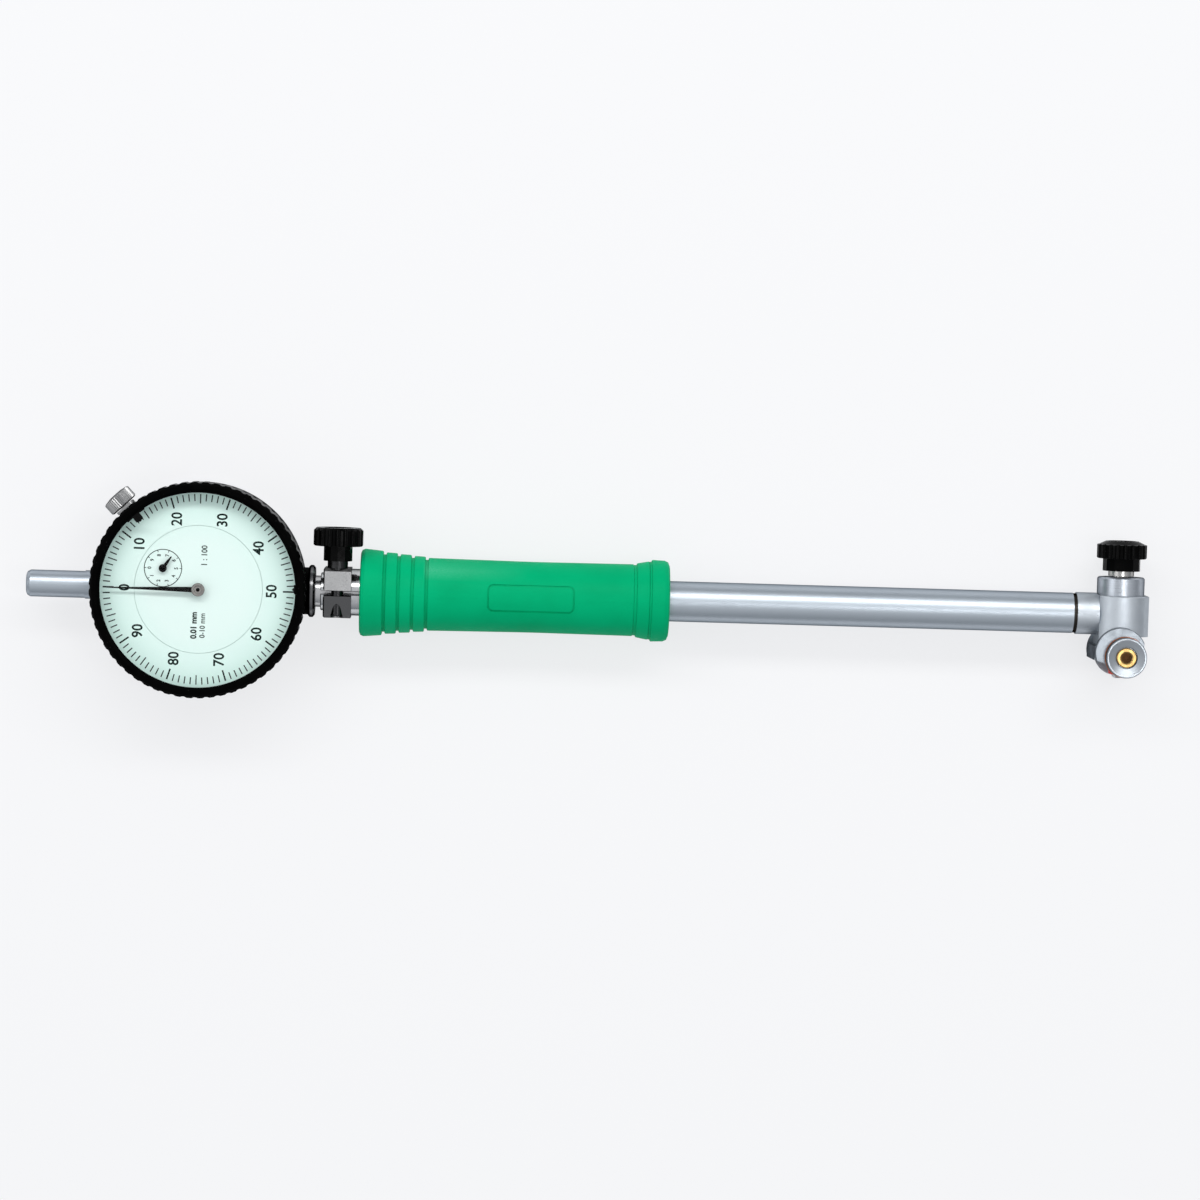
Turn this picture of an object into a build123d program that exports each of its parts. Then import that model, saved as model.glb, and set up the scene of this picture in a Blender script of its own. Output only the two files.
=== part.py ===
from build123d import *
import os
from math import cos, pi, radians, sin, tan

os.makedirs("parts", exist_ok=True)

# Dial bore gauge, lying on the flat back of its dial with the dial facing up.
# Origin: centre of the case back. +X runs along the tube to the measuring head, +Z is the dial's normal.

# Height of the stem, tube and push rod axis above the case back
axis_height = 11.5

# Clearances, all radial or face to face
running_fit = 0.05
seat_fit = 0.02
guide_gap = 0.2
level_gap = 0.3
free_gap = 0.4

# Spindle
spindle_radius = 2.0
spindle_tip_length = 3.5
spindle_tip_radius = 1.6
spindle_tip_proud = 2.5
spindle_back_room = 11.3

# Dial case
case_radius = 26.9
case_wall = 3.5
plate_ledge = 1.0
spigot_step = 0.65
back_cover_thickness = 2.2
back_cover_chamfer = 0.7
case_post_radius = 2.3
case_post_inset = 1.88
cover_screw_radius = 1.0
cover_screw_head = 1.9
cover_screw_length = 4.0
case_wall_bore = case_radius - case_wall
plate_seat_bore = case_wall_bore + plate_ledge
case_spigot_radius = case_radius - spigot_step
case_screw_circle = case_wall_bore - case_post_inset

# Gear train, its levels stacked from the spindle up
travel_per_counter_turn = 10.0
counter_share = 0.3896
counter_angle = 150.3
train_angle = 212.0
rack_pinion_teeth = 16
wheel_teeth = 100
centre_pinion_teeth = 10
arbor_radius = 0.5
rack_width = 1.6
wheel_thickness = 0.5
plate_thickness = 0.6
plate_screw_length = 3.0
plate_screw_head = 0.6
pillar_radius = 1.2
pillar_inset = 2.0
pillar_clear_angle = 42.3
pillar_spread = counter_angle - pillar_clear_angle
upper_plate_inset = 6.9
hairspring_width = 0.5
hairspring_wire = 0.14
hairspring_pitch = 0.32
hairspring_half_turns = 7
plate_seat_height = axis_height + spindle_radius + free_gap
plate_top = plate_seat_height + plate_thickness
main_wheel_height = plate_top + level_gap
take_up_height = main_wheel_height + wheel_thickness + level_gap
hairspring_height = take_up_height + wheel_thickness + level_gap
upper_plate_height = hairspring_height + hairspring_width + free_gap
upper_plate_top = upper_plate_height + plate_thickness
upper_plate_radius = case_radius - upper_plate_inset
pillar_circle = upper_plate_radius - pillar_inset

# Dial and bezel, stacked from the upper plate up
case_rim_height = 0.5
bezel_overlap = 3.0
retaining_ring_thickness = 0.4
retaining_ring_gap = 0.1
dial_thickness = 0.4
scale_width = 8.55
seam_gap = 0.1
bezel_wall = 1.2
bezel_rim = 2.7
bezel_shoulder = 0.4
bezel_lip = 0.8
bezel_scallops = 60
scallop_depth = 0.28
scallop_cutter = 1.3
crystal_seat = 0.75
crystal_thickness = 1.1
case_top = upper_plate_top + case_rim_height
bezel_foot_height = case_top - bezel_overlap
dial_bottom = case_top + retaining_ring_gap + retaining_ring_thickness
dial_top = dial_bottom + dial_thickness
bezel_bore = case_spigot_radius + running_fit
bezel_radius = bezel_bore + bezel_wall
bezel_opening = bezel_radius - bezel_rim
inner_dial_radius = bezel_opening - scale_width
bezel_shoulder_bore = bezel_opening + bezel_shoulder
crystal_radius = bezel_opening + crystal_seat

# Pointers
counter_pointer_gap = 0.8
counter_pointer_thickness = 0.35
counter_pointer_length = 4.1
counter_pointer_root = 0.3
counter_pointer_tip = 0.08
counter_pointer_angle = 55.0
pointer_gap = 0.55
pointer_thickness = 0.2
pointer_inset = 3.8
pointer_width = 1.0
hub_radius = 1.7
hub_thickness = 0.35
crystal_gap = 0.25
counter_pointer_height = dial_top + counter_pointer_gap
counter_pointer_top = counter_pointer_height + counter_pointer_thickness
pointer_height = counter_pointer_top + pointer_gap
pointer_length = bezel_opening - pointer_inset
hub_top = pointer_height + pointer_thickness + hub_thickness
crystal_bottom = hub_top + crystal_gap
crystal_top = crystal_bottom + crystal_thickness

# Limit markers
marker_gap = 0.55
marker_thickness = 0.35
marker_angles = (130.7, 2.0)
marker_widths = (2.1, 0.9)
marker_reaches = (2.3, 0.9)
marker_height = crystal_top + marker_gap
bezel_top = marker_height + marker_thickness + bezel_lip

# Bezel clamp
bezel_clamp_angle = 134.0
bezel_clamp_drop = 0.7
bezel_clamp_head_radius = 3.95
bezel_clamp_head_length = 3.6
bezel_clamp_thread = 1.2
bezel_clip_thickness = 0.7
bezel_clip_height = 8.0
bezel_clip_width = 5.0
bezel_clip_offset = 1.4
bezel_clip_corner = 0.8
knurl_ridges = 40
knurl_depth = 0.22
bezel_clamp_height = axis_height - bezel_clamp_drop

# Stem and dust cap
stem_radius = 4.0
stem_shoulder = 0.6
stem_boss_proud = 0.9
stem_length = 16.2
stem_flange_step = 2.7
stem_flange_thickness = 1.7
stem_boss_step = 0.65
cap_radius = 3.45
cap_shoulder = 0.45
cap_boss_step = 0.55
cap_boss_proud = 0.7
cap_length = 16.7
cap_wall = 1.0
cap_foot = 1.7
stem_spigot_radius = stem_radius - stem_shoulder
stem_flange_radius = stem_radius + stem_flange_step
stem_boss_radius = stem_flange_radius - stem_boss_step
stem_boss_end = case_radius + stem_boss_proud
stem_end = stem_boss_end + stem_length
cap_spigot_radius = cap_radius - cap_shoulder
cap_boss_radius = cap_radius + cap_boss_step
cap_boss_end = case_radius + cap_boss_proud
cap_end = -cap_boss_end - cap_length
spindle_left_end = cap_end + cap_wall + spindle_back_room
spindle_tip_end = stem_end + spindle_tip_proud

# Measuring tube and push rod
tube_radius = 5.2
tube_wall = 1.0
tube_overlap = 22.0
tube_length = 128.4
joint_ring_width = 0.9
joint_ring_step = 0.12
push_rod_radius = 1.5
rod_guide_length = 6.0
rod_guide_insets = (21.0, 18.4)
rod_collar_offset = 18.0
rod_collar_width = 3.0
rod_collar_step = 1.7
rod_spring_step = 0.9
rod_spring_wire = 0.3
rod_spring_turns = 7
tube_bore = tube_radius - tube_wall

# Handle: nose, clamp block and grip
nose_gap = 1.4
nose_wall = 0.8
nose_proud = 0.8
clamp_length = 7.1
clamp_wall = 1.55
clamp_back_wall = 1.35
clamp_front_wall = 2.3
clamp_cover = 0.25
clamp_slit = 1.5
clamp_thread = 1.5
handle_wall = 0.8
grip_gap = 2.2
grip_length = 79.2
grip_lip = 2.2
grip_radius = 9.35
grip_waist_radius = 9.1
grip_body_end_radius = 9.25
grip_flange_length = 5.8
grip_flange_step = 1.9
grip_flange_taper = 0.4
grip_flange_round = 1.1
grip_rib_length = 2.9
grip_rib_rise = 0.4
grip_rib_step = 0.35
grip_rib_taper = 0.1
grip_rib_round = 0.3
grip_groove_width = 0.7
grip_groove_depth = 0.5
end_flange_length = 4.6
end_flange_step = 1.25
end_flange_round = 1.3
end_groove_width = 0.5
end_rib_length = 3.3
panel_length = 22.3
panel_width = 7.0
panel_corner = 1.6
panel_line = 0.45
panel_depth = 0.2
nose_bore = stem_radius + running_fit
nose_radius = stem_radius + running_fit + nose_wall
nose_start = stem_boss_end + stem_flange_thickness + nose_gap
clamp_start = nose_start + nose_proud
clamp_end = clamp_start + clamp_length
clamp_middle = clamp_start + clamp_length / 2
clamp_half_height = nose_radius + clamp_wall
clamp_back_radius = nose_radius + clamp_back_wall
clamp_knob_offset = nose_radius + clamp_thread + clamp_cover
clamp_front = clamp_knob_offset + clamp_front_wall
handle_radius = tube_radius + handle_wall
handle_bore = tube_bore + guide_gap / 2
grip_start = clamp_end + grip_gap
grip_end = grip_start + grip_length
handle_end = grip_end - grip_lip
tube_start = handle_end - tube_overlap
tube_end = tube_start + tube_length
rod_guide_places = (grip_start + rod_guide_insets[0], tube_end - rod_guide_insets[1])
rod_collar_place = rod_guide_places[0] + rod_collar_offset

# Head, measured from the axis of its socket and plunger
head_offset = 11.5
head_left = -5.9
head_right = 7.0
head_front = 7.2
head_top = 4.9
head_bottom = -11.2
head_step = -5.5
head_lower_right = 3.9
head_flat_half = 4.7
head_bevel = 1.3
head_bevel_half = 4.9
head_right_half = 3.2
head_collar_radius = 5.4
head_x = tube_end + joint_ring_width + head_offset
socket_radius = 6.1
socket_top = 9.6
socket_recess_radius = 3.85
socket_recess_depth = 2.0
socket_spigot_radius = 3.0
socket_spigot_length = 2.3

# Bell crank
crank_arm = 4.0
crank_swing = 20.0
crank_nose = 0.6
crank_half_width = 0.9
crank_pin_radius = 0.7
crank_pin_inset = 2.2
crank_pin_reach = 3.0
rod_pin_radius = 0.8
rod_pin_length = 4.0

# Measuring contact
plunger_radius = 2.5
plunger_neck = 1.5
plunger_pin_length = 1.2
contact_ring_radius = 2.45
contact_ring_top = -14.1
contact_ring_width = 1.4
contact_end = -16.5

# Guide bridge and rollers
bridge_travel = 2.0
cheek_thickness = 1.3
cheek_radius = 6.6
cheek_centre = (-0.55, -9.6)
cheek_right = 5.4
cheek_foot = (-4.2, -12.4)
cheek_corner = (-6.9, -11.6)
bridge_stop_gap = 0.6
bridge_wall_top = -head_collar_radius - bridge_travel - bridge_stop_gap
rear_ear_radius = 5.7
roller_x = 0.6
roller_y = -10.6
roller_radius = 5.2
roller_thickness = 2.4
roller_bore = 1.35
roller_dish = 0.6
roller_recess = 0.45
roller_edge = 0.25
axle_head_radius = 2.6
axle_head_length = 0.7
axle_socket_radius = 1.36
washer_radius = 5.3
washer_thickness = 0.35
spring_pitch_circle = 4.3
spring_pocket = 1.5
bridge_spring_radius = 0.85
bridge_lug_top = head_bottom - bridge_travel - 0.4
bridge_lug_height = 0.9
bridge_wire = 0.18
bridge_spring_turns = 5
index_line_width = 0.25
index_line_length = 1.7

# Knobs
knob_flutes = 20
flute_cutter = 0.75
flute_depth = 0.45
knob_seat = 1.0
lock_knob_radius = 6.4
lock_hub_radius = 4.85
lock_thread = 2.0
lock_collar_radius = 3.3
lock_collar_width = 1.3
lock_hub_width = 3.2
lock_head_width = 3.7
lock_crown = 0.8
clamp_knob_radius = 6.35
clamp_hub_radius = 3.65
clamp_collar_step = 1.05
clamp_collar_width = 1.8
clamp_hub_width = 3.8
clamp_head_width = 4.7
clamp_screw_inset = 0.6

# Shared planes and axes
tube_section = Plane(origin=(0, 0, axis_height), x_dir=(1, 0, 0), z_dir=(0, -1, 0))
tube_axis = Axis((0, 0, axis_height), (1, 0, 0))
head_section = Plane(origin=(head_x, 0, axis_height), x_dir=(1, 0, 0), z_dir=(0, 0, 1))
head_axis = Axis((head_x, 0, axis_height), (0, 1, 0))
dial_section = Plane.XZ


def closed_outline(*points):
    # Adds the face inside a polygon to the sketch that is open
    Polygon(*points, align=None)


def across_x(x):
    # Plane square to the tube axis at a distance x, its first direction along +Y
    return Plane(origin=(x, 0, axis_height), x_dir=(0, 1, 0), z_dir=(1, 0, 0))


def across_y(y, x=0.0, height=0.0):
    # Plane square to +Y at a height y above the tube axis, its first direction along +X
    return Plane(origin=(x, y, axis_height + height), x_dir=(1, 0, 0), z_dir=(0, 1, 0))


def tooth_points(teeth, pitch_radius, phase):
    # Straight-sided teeth, kept slim so that meshing wheels have backlash
    module = 2 * pitch_radius / teeth
    root = pitch_radius - 1.15 * module
    tip = pitch_radius + 0.8 * module
    corners = ((-0.20, root), (-0.10, tip), (0.10, tip), (0.20, root))
    points = []
    for tooth in range(teeth):
        for share, radius in corners:
            angle = radians(phase + 360 * (tooth + share) / teeth)
            points.append((radius * cos(angle), radius * sin(angle)))
    return points


def polar_point(radius, angle):
    return radius * cos(radians(angle)), radius * sin(radians(angle))


def pillar_places(radius):
    # Three places round the dial, clear of both wheels
    return PolarLocations(
        radius, 3, start_angle=-pillar_spread, angular_range=2 * pillar_spread, endpoint=True
    )


def finish(built, name):
    built.part.label = name
    export_step(built.part, f"parts/{name}.step")


# Places that follow from the sizes above
counter_distance = case_radius * counter_share
counter_centre = polar_point(counter_distance, counter_angle)
train_centre = polar_point(counter_distance, train_angle)
mesh_module = 2 * counter_distance / (wheel_teeth + centre_pinion_teeth)
wheel_radius = mesh_module * wheel_teeth / 2
centre_pinion_radius = mesh_module * centre_pinion_teeth / 2
rack_pinion_radius = travel_per_counter_turn / (2 * pi)
rack_pitch = travel_per_counter_turn / rack_pinion_teeth
rack_module = rack_pitch / pi
rack_line = train_centre[1] + rack_pinion_radius
rack_seat = 0.5 - spindle_radius
centre_phase = train_angle
crank_pivot = (head_x - crank_arm, -crank_arm)
crank_rest = radians(crank_swing / 2)
crank_drop = crank_arm * sin(crank_rest)
plunger_top = crank_pivot[1] - crank_drop - crank_nose - seat_fit
rod_end = crank_pivot[0] + crank_drop - crank_nose - seat_fit
rod_start = spindle_tip_end + running_fit
collar_start = tube_end + joint_ring_width
roller_face = axis_height
roller_back = roller_face - roller_thickness
cheek_outer = roller_back - running_fit * 3 - washer_thickness
cheek_inner = cheek_outer - cheek_thickness
bezel_clip_inner = bezel_radius + seat_fit * 5
bezel_clamp_seat = bezel_clip_inner + bezel_clip_thickness + level_gap
clamp_boss_end = case_radius + spigot_step - guide_gap
clamp_thread_end = case_wall_bore - spigot_step
spigot_start = plate_seat_bore + guide_gap
clamp_boss_radius = bezel_clamp_thread * 2.4
clamp_direction = Vector(*polar_point(1, bezel_clamp_angle), 0)


def along_clamp(radius):
    # Plane square to the bezel clamp's radial axis
    origin = clamp_direction * radius + Vector(0, 0, bezel_clamp_height)
    return Plane(origin=origin, x_dir=(0, 0, 1), z_dir=clamp_direction)


# Case: a ring with four screw posts, bosses for the stem, dust cap and bezel clamp, and the bezel's spigot
with BuildPart() as case:
    with BuildSketch(dial_section):
        closed_outline(
            (case_wall_bore, back_cover_thickness),
            (case_radius, back_cover_thickness),
            (case_radius, bezel_foot_height - guide_gap),
            (case_spigot_radius, bezel_foot_height - guide_gap),
            (case_spigot_radius, case_top),
            (plate_seat_bore, case_top),
            (plate_seat_bore, plate_seat_height),
            (case_wall_bore, plate_seat_height),
        )
    revolve(axis=Axis.Z)
    with BuildSketch(Plane.XY.offset(back_cover_thickness)):
        with PolarLocations(case_screw_circle, 4, start_angle=45):
            Circle(case_post_radius)
    extrude(amount=plate_seat_height - back_cover_thickness)
    with BuildSketch(across_x(case_wall_bore)):
        Circle(stem_boss_radius)
    extrude(amount=stem_boss_end - case_wall_bore)
    with BuildSketch(across_x(-case_wall_bore)):
        Circle(cap_boss_radius)
    extrude(amount=case_wall_bore - cap_boss_end)
    with BuildSketch(along_clamp(case_wall_bore)):
        Circle(clamp_boss_radius)
    extrude(amount=clamp_boss_end - case_wall_bore)
    with BuildSketch(Plane.XY.offset(plate_seat_height)):
        Circle(plate_seat_bore)
    extrude(amount=case_top - plate_seat_height, mode=Mode.SUBTRACT)
    with BuildSketch(Plane.XY.offset(bezel_foot_height - guide_gap)):
        Circle(stem_boss_end + case_wall)
        Circle(case_spigot_radius, mode=Mode.SUBTRACT)
    extrude(amount=case_top - bezel_foot_height + guide_gap, mode=Mode.SUBTRACT)
    with BuildSketch(across_x(0)):
        Circle(stem_spigot_radius)
    extrude(amount=stem_boss_end, mode=Mode.SUBTRACT)
    with BuildSketch(across_x(0)):
        Circle(cap_spigot_radius)
    extrude(amount=-cap_boss_end, mode=Mode.SUBTRACT)
    with BuildSketch(along_clamp(clamp_thread_end - guide_gap)):
        Circle(bezel_clamp_thread + running_fit)
    extrude(amount=clamp_boss_end - clamp_thread_end + guide_gap, mode=Mode.SUBTRACT)
    with BuildSketch(Plane.XY.offset(back_cover_thickness)):
        with PolarLocations(case_screw_circle, 4, start_angle=45):
            Circle(cover_screw_radius)
    extrude(amount=plate_seat_height - back_cover_thickness, mode=Mode.SUBTRACT)
finish(case, "case")

# Back cover, a turned disc with four countersunk holes
with BuildPart() as back_cover:
    with BuildSketch(Plane.XY):
        Circle(case_radius)
    extrude(amount=back_cover_thickness)
    chamfer(back_cover.edges().group_by(Axis.Z)[0], back_cover_chamfer)
    with Locations(Plane(origin=(0, 0, 0), x_dir=(1, 0, 0), z_dir=(0, 0, -1))):
        with PolarLocations(case_screw_circle, 4, start_angle=45):
            CounterSinkHole(cover_screw_radius, cover_screw_head, depth=back_cover_thickness)
finish(back_cover, "back_cover")

# Countersunk screws that hold the cover, with a driver slot
screw_cone = (cover_screw_head - cover_screw_radius) / tan(radians(41))
with BuildPart() as cover_screw:
    with BuildSketch(dial_section):
        closed_outline(
            (0, 0.1),
            (cover_screw_head - 0.15, 0.1),
            (cover_screw_radius, screw_cone),
            (cover_screw_radius, back_cover_thickness + cover_screw_length),
            (0, back_cover_thickness + cover_screw_length),
        )
    revolve(axis=Axis.Z)
    with BuildSketch(Plane.XY):
        Rectangle(cover_screw_head * 2, 0.45)
    extrude(amount=0.55, mode=Mode.SUBTRACT)
with BuildPart() as back_cover_screws:
    with PolarLocations(case_screw_circle, 4, start_angle=45):
        add(cover_screw.part)
finish(back_cover_screws, "back_cover_screws")

# Stem, turned in one with its flange, bored for the spindle
with BuildPart() as stem:
    with BuildSketch(tube_section):
        flange_end = stem_boss_end + stem_flange_thickness
        closed_outline(
            (spigot_start, spindle_radius + running_fit),
            (stem_end, spindle_radius + running_fit),
            (stem_end, stem_radius - 0.4),
            (stem_end - 0.4, stem_radius),
            (flange_end, stem_radius),
            (flange_end, stem_flange_radius - 0.6),
            (flange_end - 0.5, stem_flange_radius),
            (stem_boss_end + 0.4, stem_flange_radius),
            (stem_boss_end, stem_flange_radius - 0.4),
            (stem_boss_end, stem_spigot_radius),
            (spigot_start, stem_spigot_radius),
        )
    revolve(axis=tube_axis)
finish(stem, "stem")

# Dust cap over the free end of the spindle
with BuildPart() as dust_cap:
    cap_inner = cap_radius - cap_wall
    with BuildSketch(tube_section):
        closed_outline(
            (cap_end, 0),
            (cap_end, cap_radius - 1.0),
            (cap_end + 0.25, cap_radius - 0.45),
            (cap_end + 1.0, cap_radius),
            (-cap_boss_end - cap_foot, cap_radius),
            (-cap_boss_end - cap_foot, cap_radius + guide_gap),
            (-cap_boss_end, cap_radius + guide_gap),
            (-cap_boss_end, cap_spigot_radius),
            (-spigot_start, cap_spigot_radius),
            (-spigot_start, spindle_radius + running_fit),
            (-cap_boss_end, spindle_radius + running_fit),
            (-cap_boss_end, cap_inner),
            (cap_end + cap_wall, cap_inner),
            (cap_end + cap_wall, 0),
        )
    revolve(axis=tube_axis)
finish(dust_cap, "dust_cap")

# Spindle with a flat for the rack
rack_teeth_left = 4
rack_teeth_right = 15
rack_left = train_centre[0] - (rack_teeth_left + 0.5) * rack_pitch
rack_right = train_centre[0] + (rack_teeth_right + 0.5) * rack_pitch
with BuildPart() as spindle:
    with BuildSketch(across_x(spindle_left_end)):
        Circle(spindle_radius)
    extrude(amount=spindle_tip_end - spindle_tip_length - spindle_left_end)
    chamfer(spindle.edges(), 0.3)
    with BuildSketch(Plane.XY.offset(axis_height)):
        with Locations(((rack_left + rack_right) / 2, rack_seat - spindle_radius / 2)):
            Rectangle(rack_right - rack_left + running_fit * 2, spindle_radius)
    extrude(amount=spindle_radius * 2, both=True, mode=Mode.SUBTRACT)
finish(spindle, "spindle")

# Rack, a toothed bar seated on the spindle's flat
rack_root = rack_line + 1.15 * rack_module
rack_points = [
    (rack_right, rack_root),
    (rack_right, rack_seat),
    (rack_left, rack_seat),
    (rack_left, rack_root),
]
for tooth in range(-rack_teeth_left, rack_teeth_right + 1):
    middle = train_centre[0] + tooth * rack_pitch
    for share, height in ((-0.20, 1.15), (-0.10, -0.8), (0.10, -0.8), (0.20, 1.15)):
        rack_points.append((middle + share * rack_pitch, rack_line + height * rack_module))
with BuildPart() as rack:
    with BuildSketch(Plane.XY.offset(axis_height - rack_width / 2)):
        closed_outline(*rack_points)
    extrude(amount=rack_width)
finish(rack, "rack")

# Contact point screwed into the end of the spindle
tip_nose = spindle_tip_radius * 0.75
with BuildPart() as spindle_tip:
    with BuildSketch(tube_section):
        with BuildLine():
            Polyline(
                (spindle_tip_end, 0),
                (spindle_tip_end - spindle_tip_length, 0),
                (spindle_tip_end - spindle_tip_length, spindle_tip_radius),
                (spindle_tip_end - tip_nose, spindle_tip_radius),
                (spindle_tip_end - tip_nose, tip_nose),
            )
            RadiusArc((spindle_tip_end - tip_nose, tip_nose), (spindle_tip_end, 0), tip_nose)
        make_face()
    revolve(axis=tube_axis)
finish(spindle_tip, "spindle_tip")

# Lower movement plate, seated on the case's step and posts
with BuildPart() as lower_plate:
    with BuildSketch(Plane.XY.offset(plate_seat_height)):
        Circle(plate_seat_bore - running_fit)
        with PolarLocations(case_screw_circle, 4, start_angle=45):
            Circle(cover_screw_radius, mode=Mode.SUBTRACT)
        with pillar_places(pillar_circle):
            Circle(pillar_radius / 2, mode=Mode.SUBTRACT)
        with Locations(counter_centre, (0, 0), train_centre):
            Circle(arbor_radius + running_fit, mode=Mode.SUBTRACT)
    extrude(amount=plate_thickness)
finish(lower_plate, "lower_plate")

with BuildPart() as plate_screws:
    with BuildSketch(Plane.XY.offset(plate_seat_height - plate_screw_length)):
        with PolarLocations(case_screw_circle, 4, start_angle=45):
            Circle(cover_screw_radius)
    extrude(amount=plate_thickness + plate_screw_length)
    with BuildSketch(Plane.XY.offset(plate_top)):
        with PolarLocations(case_screw_circle, 4, start_angle=45):
            Circle(cover_screw_radius * 1.5)
            Rectangle(cover_screw_radius * 3.2, cover_screw_radius * 0.35, mode=Mode.SUBTRACT)
    extrude(amount=plate_screw_head)
finish(plate_screws, "plate_screws")

with BuildPart() as plate_pillars:
    with BuildSketch(Plane.XY.offset(plate_top)):
        with pillar_places(pillar_circle):
            Circle(pillar_radius)
    extrude(amount=upper_plate_height - plate_top)
    with BuildSketch(Plane.XY.offset(plate_seat_height)):
        with pillar_places(pillar_circle):
            Circle(pillar_radius / 2)
    extrude(amount=upper_plate_top - plate_seat_height)
finish(plate_pillars, "plate_pillars")

# Upper movement plate with three feet for the fixed dial
with BuildPart() as upper_plate:
    with BuildSketch(Plane.XY.offset(upper_plate_height)):
        Circle(upper_plate_radius)
        with pillar_places(pillar_circle):
            Circle(pillar_radius / 2, mode=Mode.SUBTRACT)
        with Locations(counter_centre, (0, 0), train_centre):
            Circle(arbor_radius + running_fit, mode=Mode.SUBTRACT)
    extrude(amount=plate_thickness)
    with BuildSketch(Plane.XY.offset(upper_plate_top)):
        with pillar_places(inner_dial_radius - pillar_inset * 1.5):
            Circle(pillar_radius)
    extrude(amount=dial_bottom - upper_plate_top)
finish(upper_plate, "upper_plate")

# Rack pinion, turned in one with its arbor
rack_pinion_bottom = axis_height - rack_width / 2 - guide_gap / 2
rack_phase = 90 + 180 / rack_pinion_teeth
with BuildPart() as rack_pinion:
    with BuildSketch(Plane.XY.offset(rack_pinion_bottom)):
        with Locations(train_centre):
            Polygon(*tooth_points(rack_pinion_teeth, rack_pinion_radius, rack_phase), align=None)
    extrude(amount=rack_width + guide_gap)
    with BuildSketch(Plane.XY.offset(rack_pinion_bottom - guide_gap)):
        with Locations(train_centre):
            Circle(arbor_radius)
    extrude(amount=upper_plate_top - rack_pinion_bottom + guide_gap)
finish(rack_pinion, "rack_pinion")


def wheel_sketch(phase, bore=0.0):
    # Toothed wheel with four lightening holes, and a bore where its arbor is a separate piece
    Polygon(*tooth_points(wheel_teeth, wheel_radius, phase), align=None)
    with PolarLocations(wheel_radius / 2, 4):
        Circle(wheel_radius / 5, mode=Mode.SUBTRACT)
    if bore:
        Circle(bore, mode=Mode.SUBTRACT)


# Main wheel on the rack pinion's arbor
with BuildPart() as main_wheel:
    with BuildSketch(Plane.XY.offset(main_wheel_height)):
        with Locations(train_centre):
            wheel_sketch(train_angle + 180 + 180 / wheel_teeth, bore=arbor_radius)
    extrude(amount=wheel_thickness)
finish(main_wheel, "main_wheel")

# Centre pinion, turned in one with the arbor of the main pointer, in mesh with both wheels
with BuildPart() as centre_pinion:
    with BuildSketch(Plane.XY.offset(main_wheel_height - guide_gap / 2)):
        Polygon(*tooth_points(centre_pinion_teeth, centre_pinion_radius, centre_phase), align=None)
    extrude(amount=take_up_height + wheel_thickness - main_wheel_height + guide_gap)
    with BuildSketch(Plane.XY.offset(plate_seat_height + running_fit)):
        Circle(arbor_radius)
    extrude(amount=hub_top - plate_seat_height - running_fit)
finish(centre_pinion, "centre_pinion")

# Take-up wheel that a hairspring turns, to hold the train against one flank; its arbor has the counter pointer
take_up_phase = counter_angle + 180 + 180 / wheel_teeth
take_up_shift = (centre_phase - counter_angle) * centre_pinion_teeth / wheel_teeth
with BuildPart() as take_up_wheel:
    with BuildSketch(Plane.XY.offset(take_up_height)):
        with Locations(counter_centre):
            wheel_sketch(take_up_phase - take_up_shift)
    extrude(amount=wheel_thickness)
    with BuildSketch(Plane.XY.offset(plate_seat_height + running_fit)):
        with Locations(counter_centre):
            Circle(arbor_radius)
    extrude(amount=counter_pointer_top - plate_seat_height - running_fit)
finish(take_up_wheel, "take_up_wheel")

# Hairspring, half turns of growing radius
with BuildPart() as hairspring:
    with BuildSketch(Plane.XY.offset(hairspring_height)):
        with Locations(counter_centre):
            with BuildLine():
                turn_start = -(arbor_radius + guide_gap / 2)
                for half_turn in range(hairspring_half_turns):
                    side = 1 if turn_start < 0 else -1
                    turn_end = -turn_start + side * hairspring_pitch
                    middle = (turn_start + turn_end) / 2
                    crown = side * abs(turn_end - turn_start) / 2
                    ThreePointArc((turn_start, 0), (middle, crown), (turn_end, 0))
                    turn_start = turn_end
            trace(line_width=hairspring_wire)
    extrude(amount=hairspring_width)
finish(hairspring, "hairspring")

# Fixed inner dial and the scale ring that turns with the bezel
with BuildPart() as inner_dial:
    with BuildSketch(Plane.XY.offset(dial_bottom)):
        Circle(inner_dial_radius)
        with Locations(counter_centre, (0, 0)):
            Circle(arbor_radius + guide_gap, mode=Mode.SUBTRACT)
    extrude(amount=dial_thickness)
finish(inner_dial, "inner_dial")

with BuildPart() as scale_ring:
    with BuildSketch(Plane.XY.offset(dial_bottom)):
        Circle(bezel_bore - running_fit)
        Circle(inner_dial_radius + seam_gap, mode=Mode.SUBTRACT)
    extrude(amount=dial_thickness)
finish(scale_ring, "scale_ring")

with BuildPart() as retaining_ring:
    with BuildSketch(Plane.XY.offset(case_top + retaining_ring_gap)):
        Circle(bezel_bore - running_fit)
        Circle(bezel_shoulder_bore, mode=Mode.SUBTRACT)
    extrude(amount=retaining_ring_thickness)
finish(retaining_ring, "retaining_ring")

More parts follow.
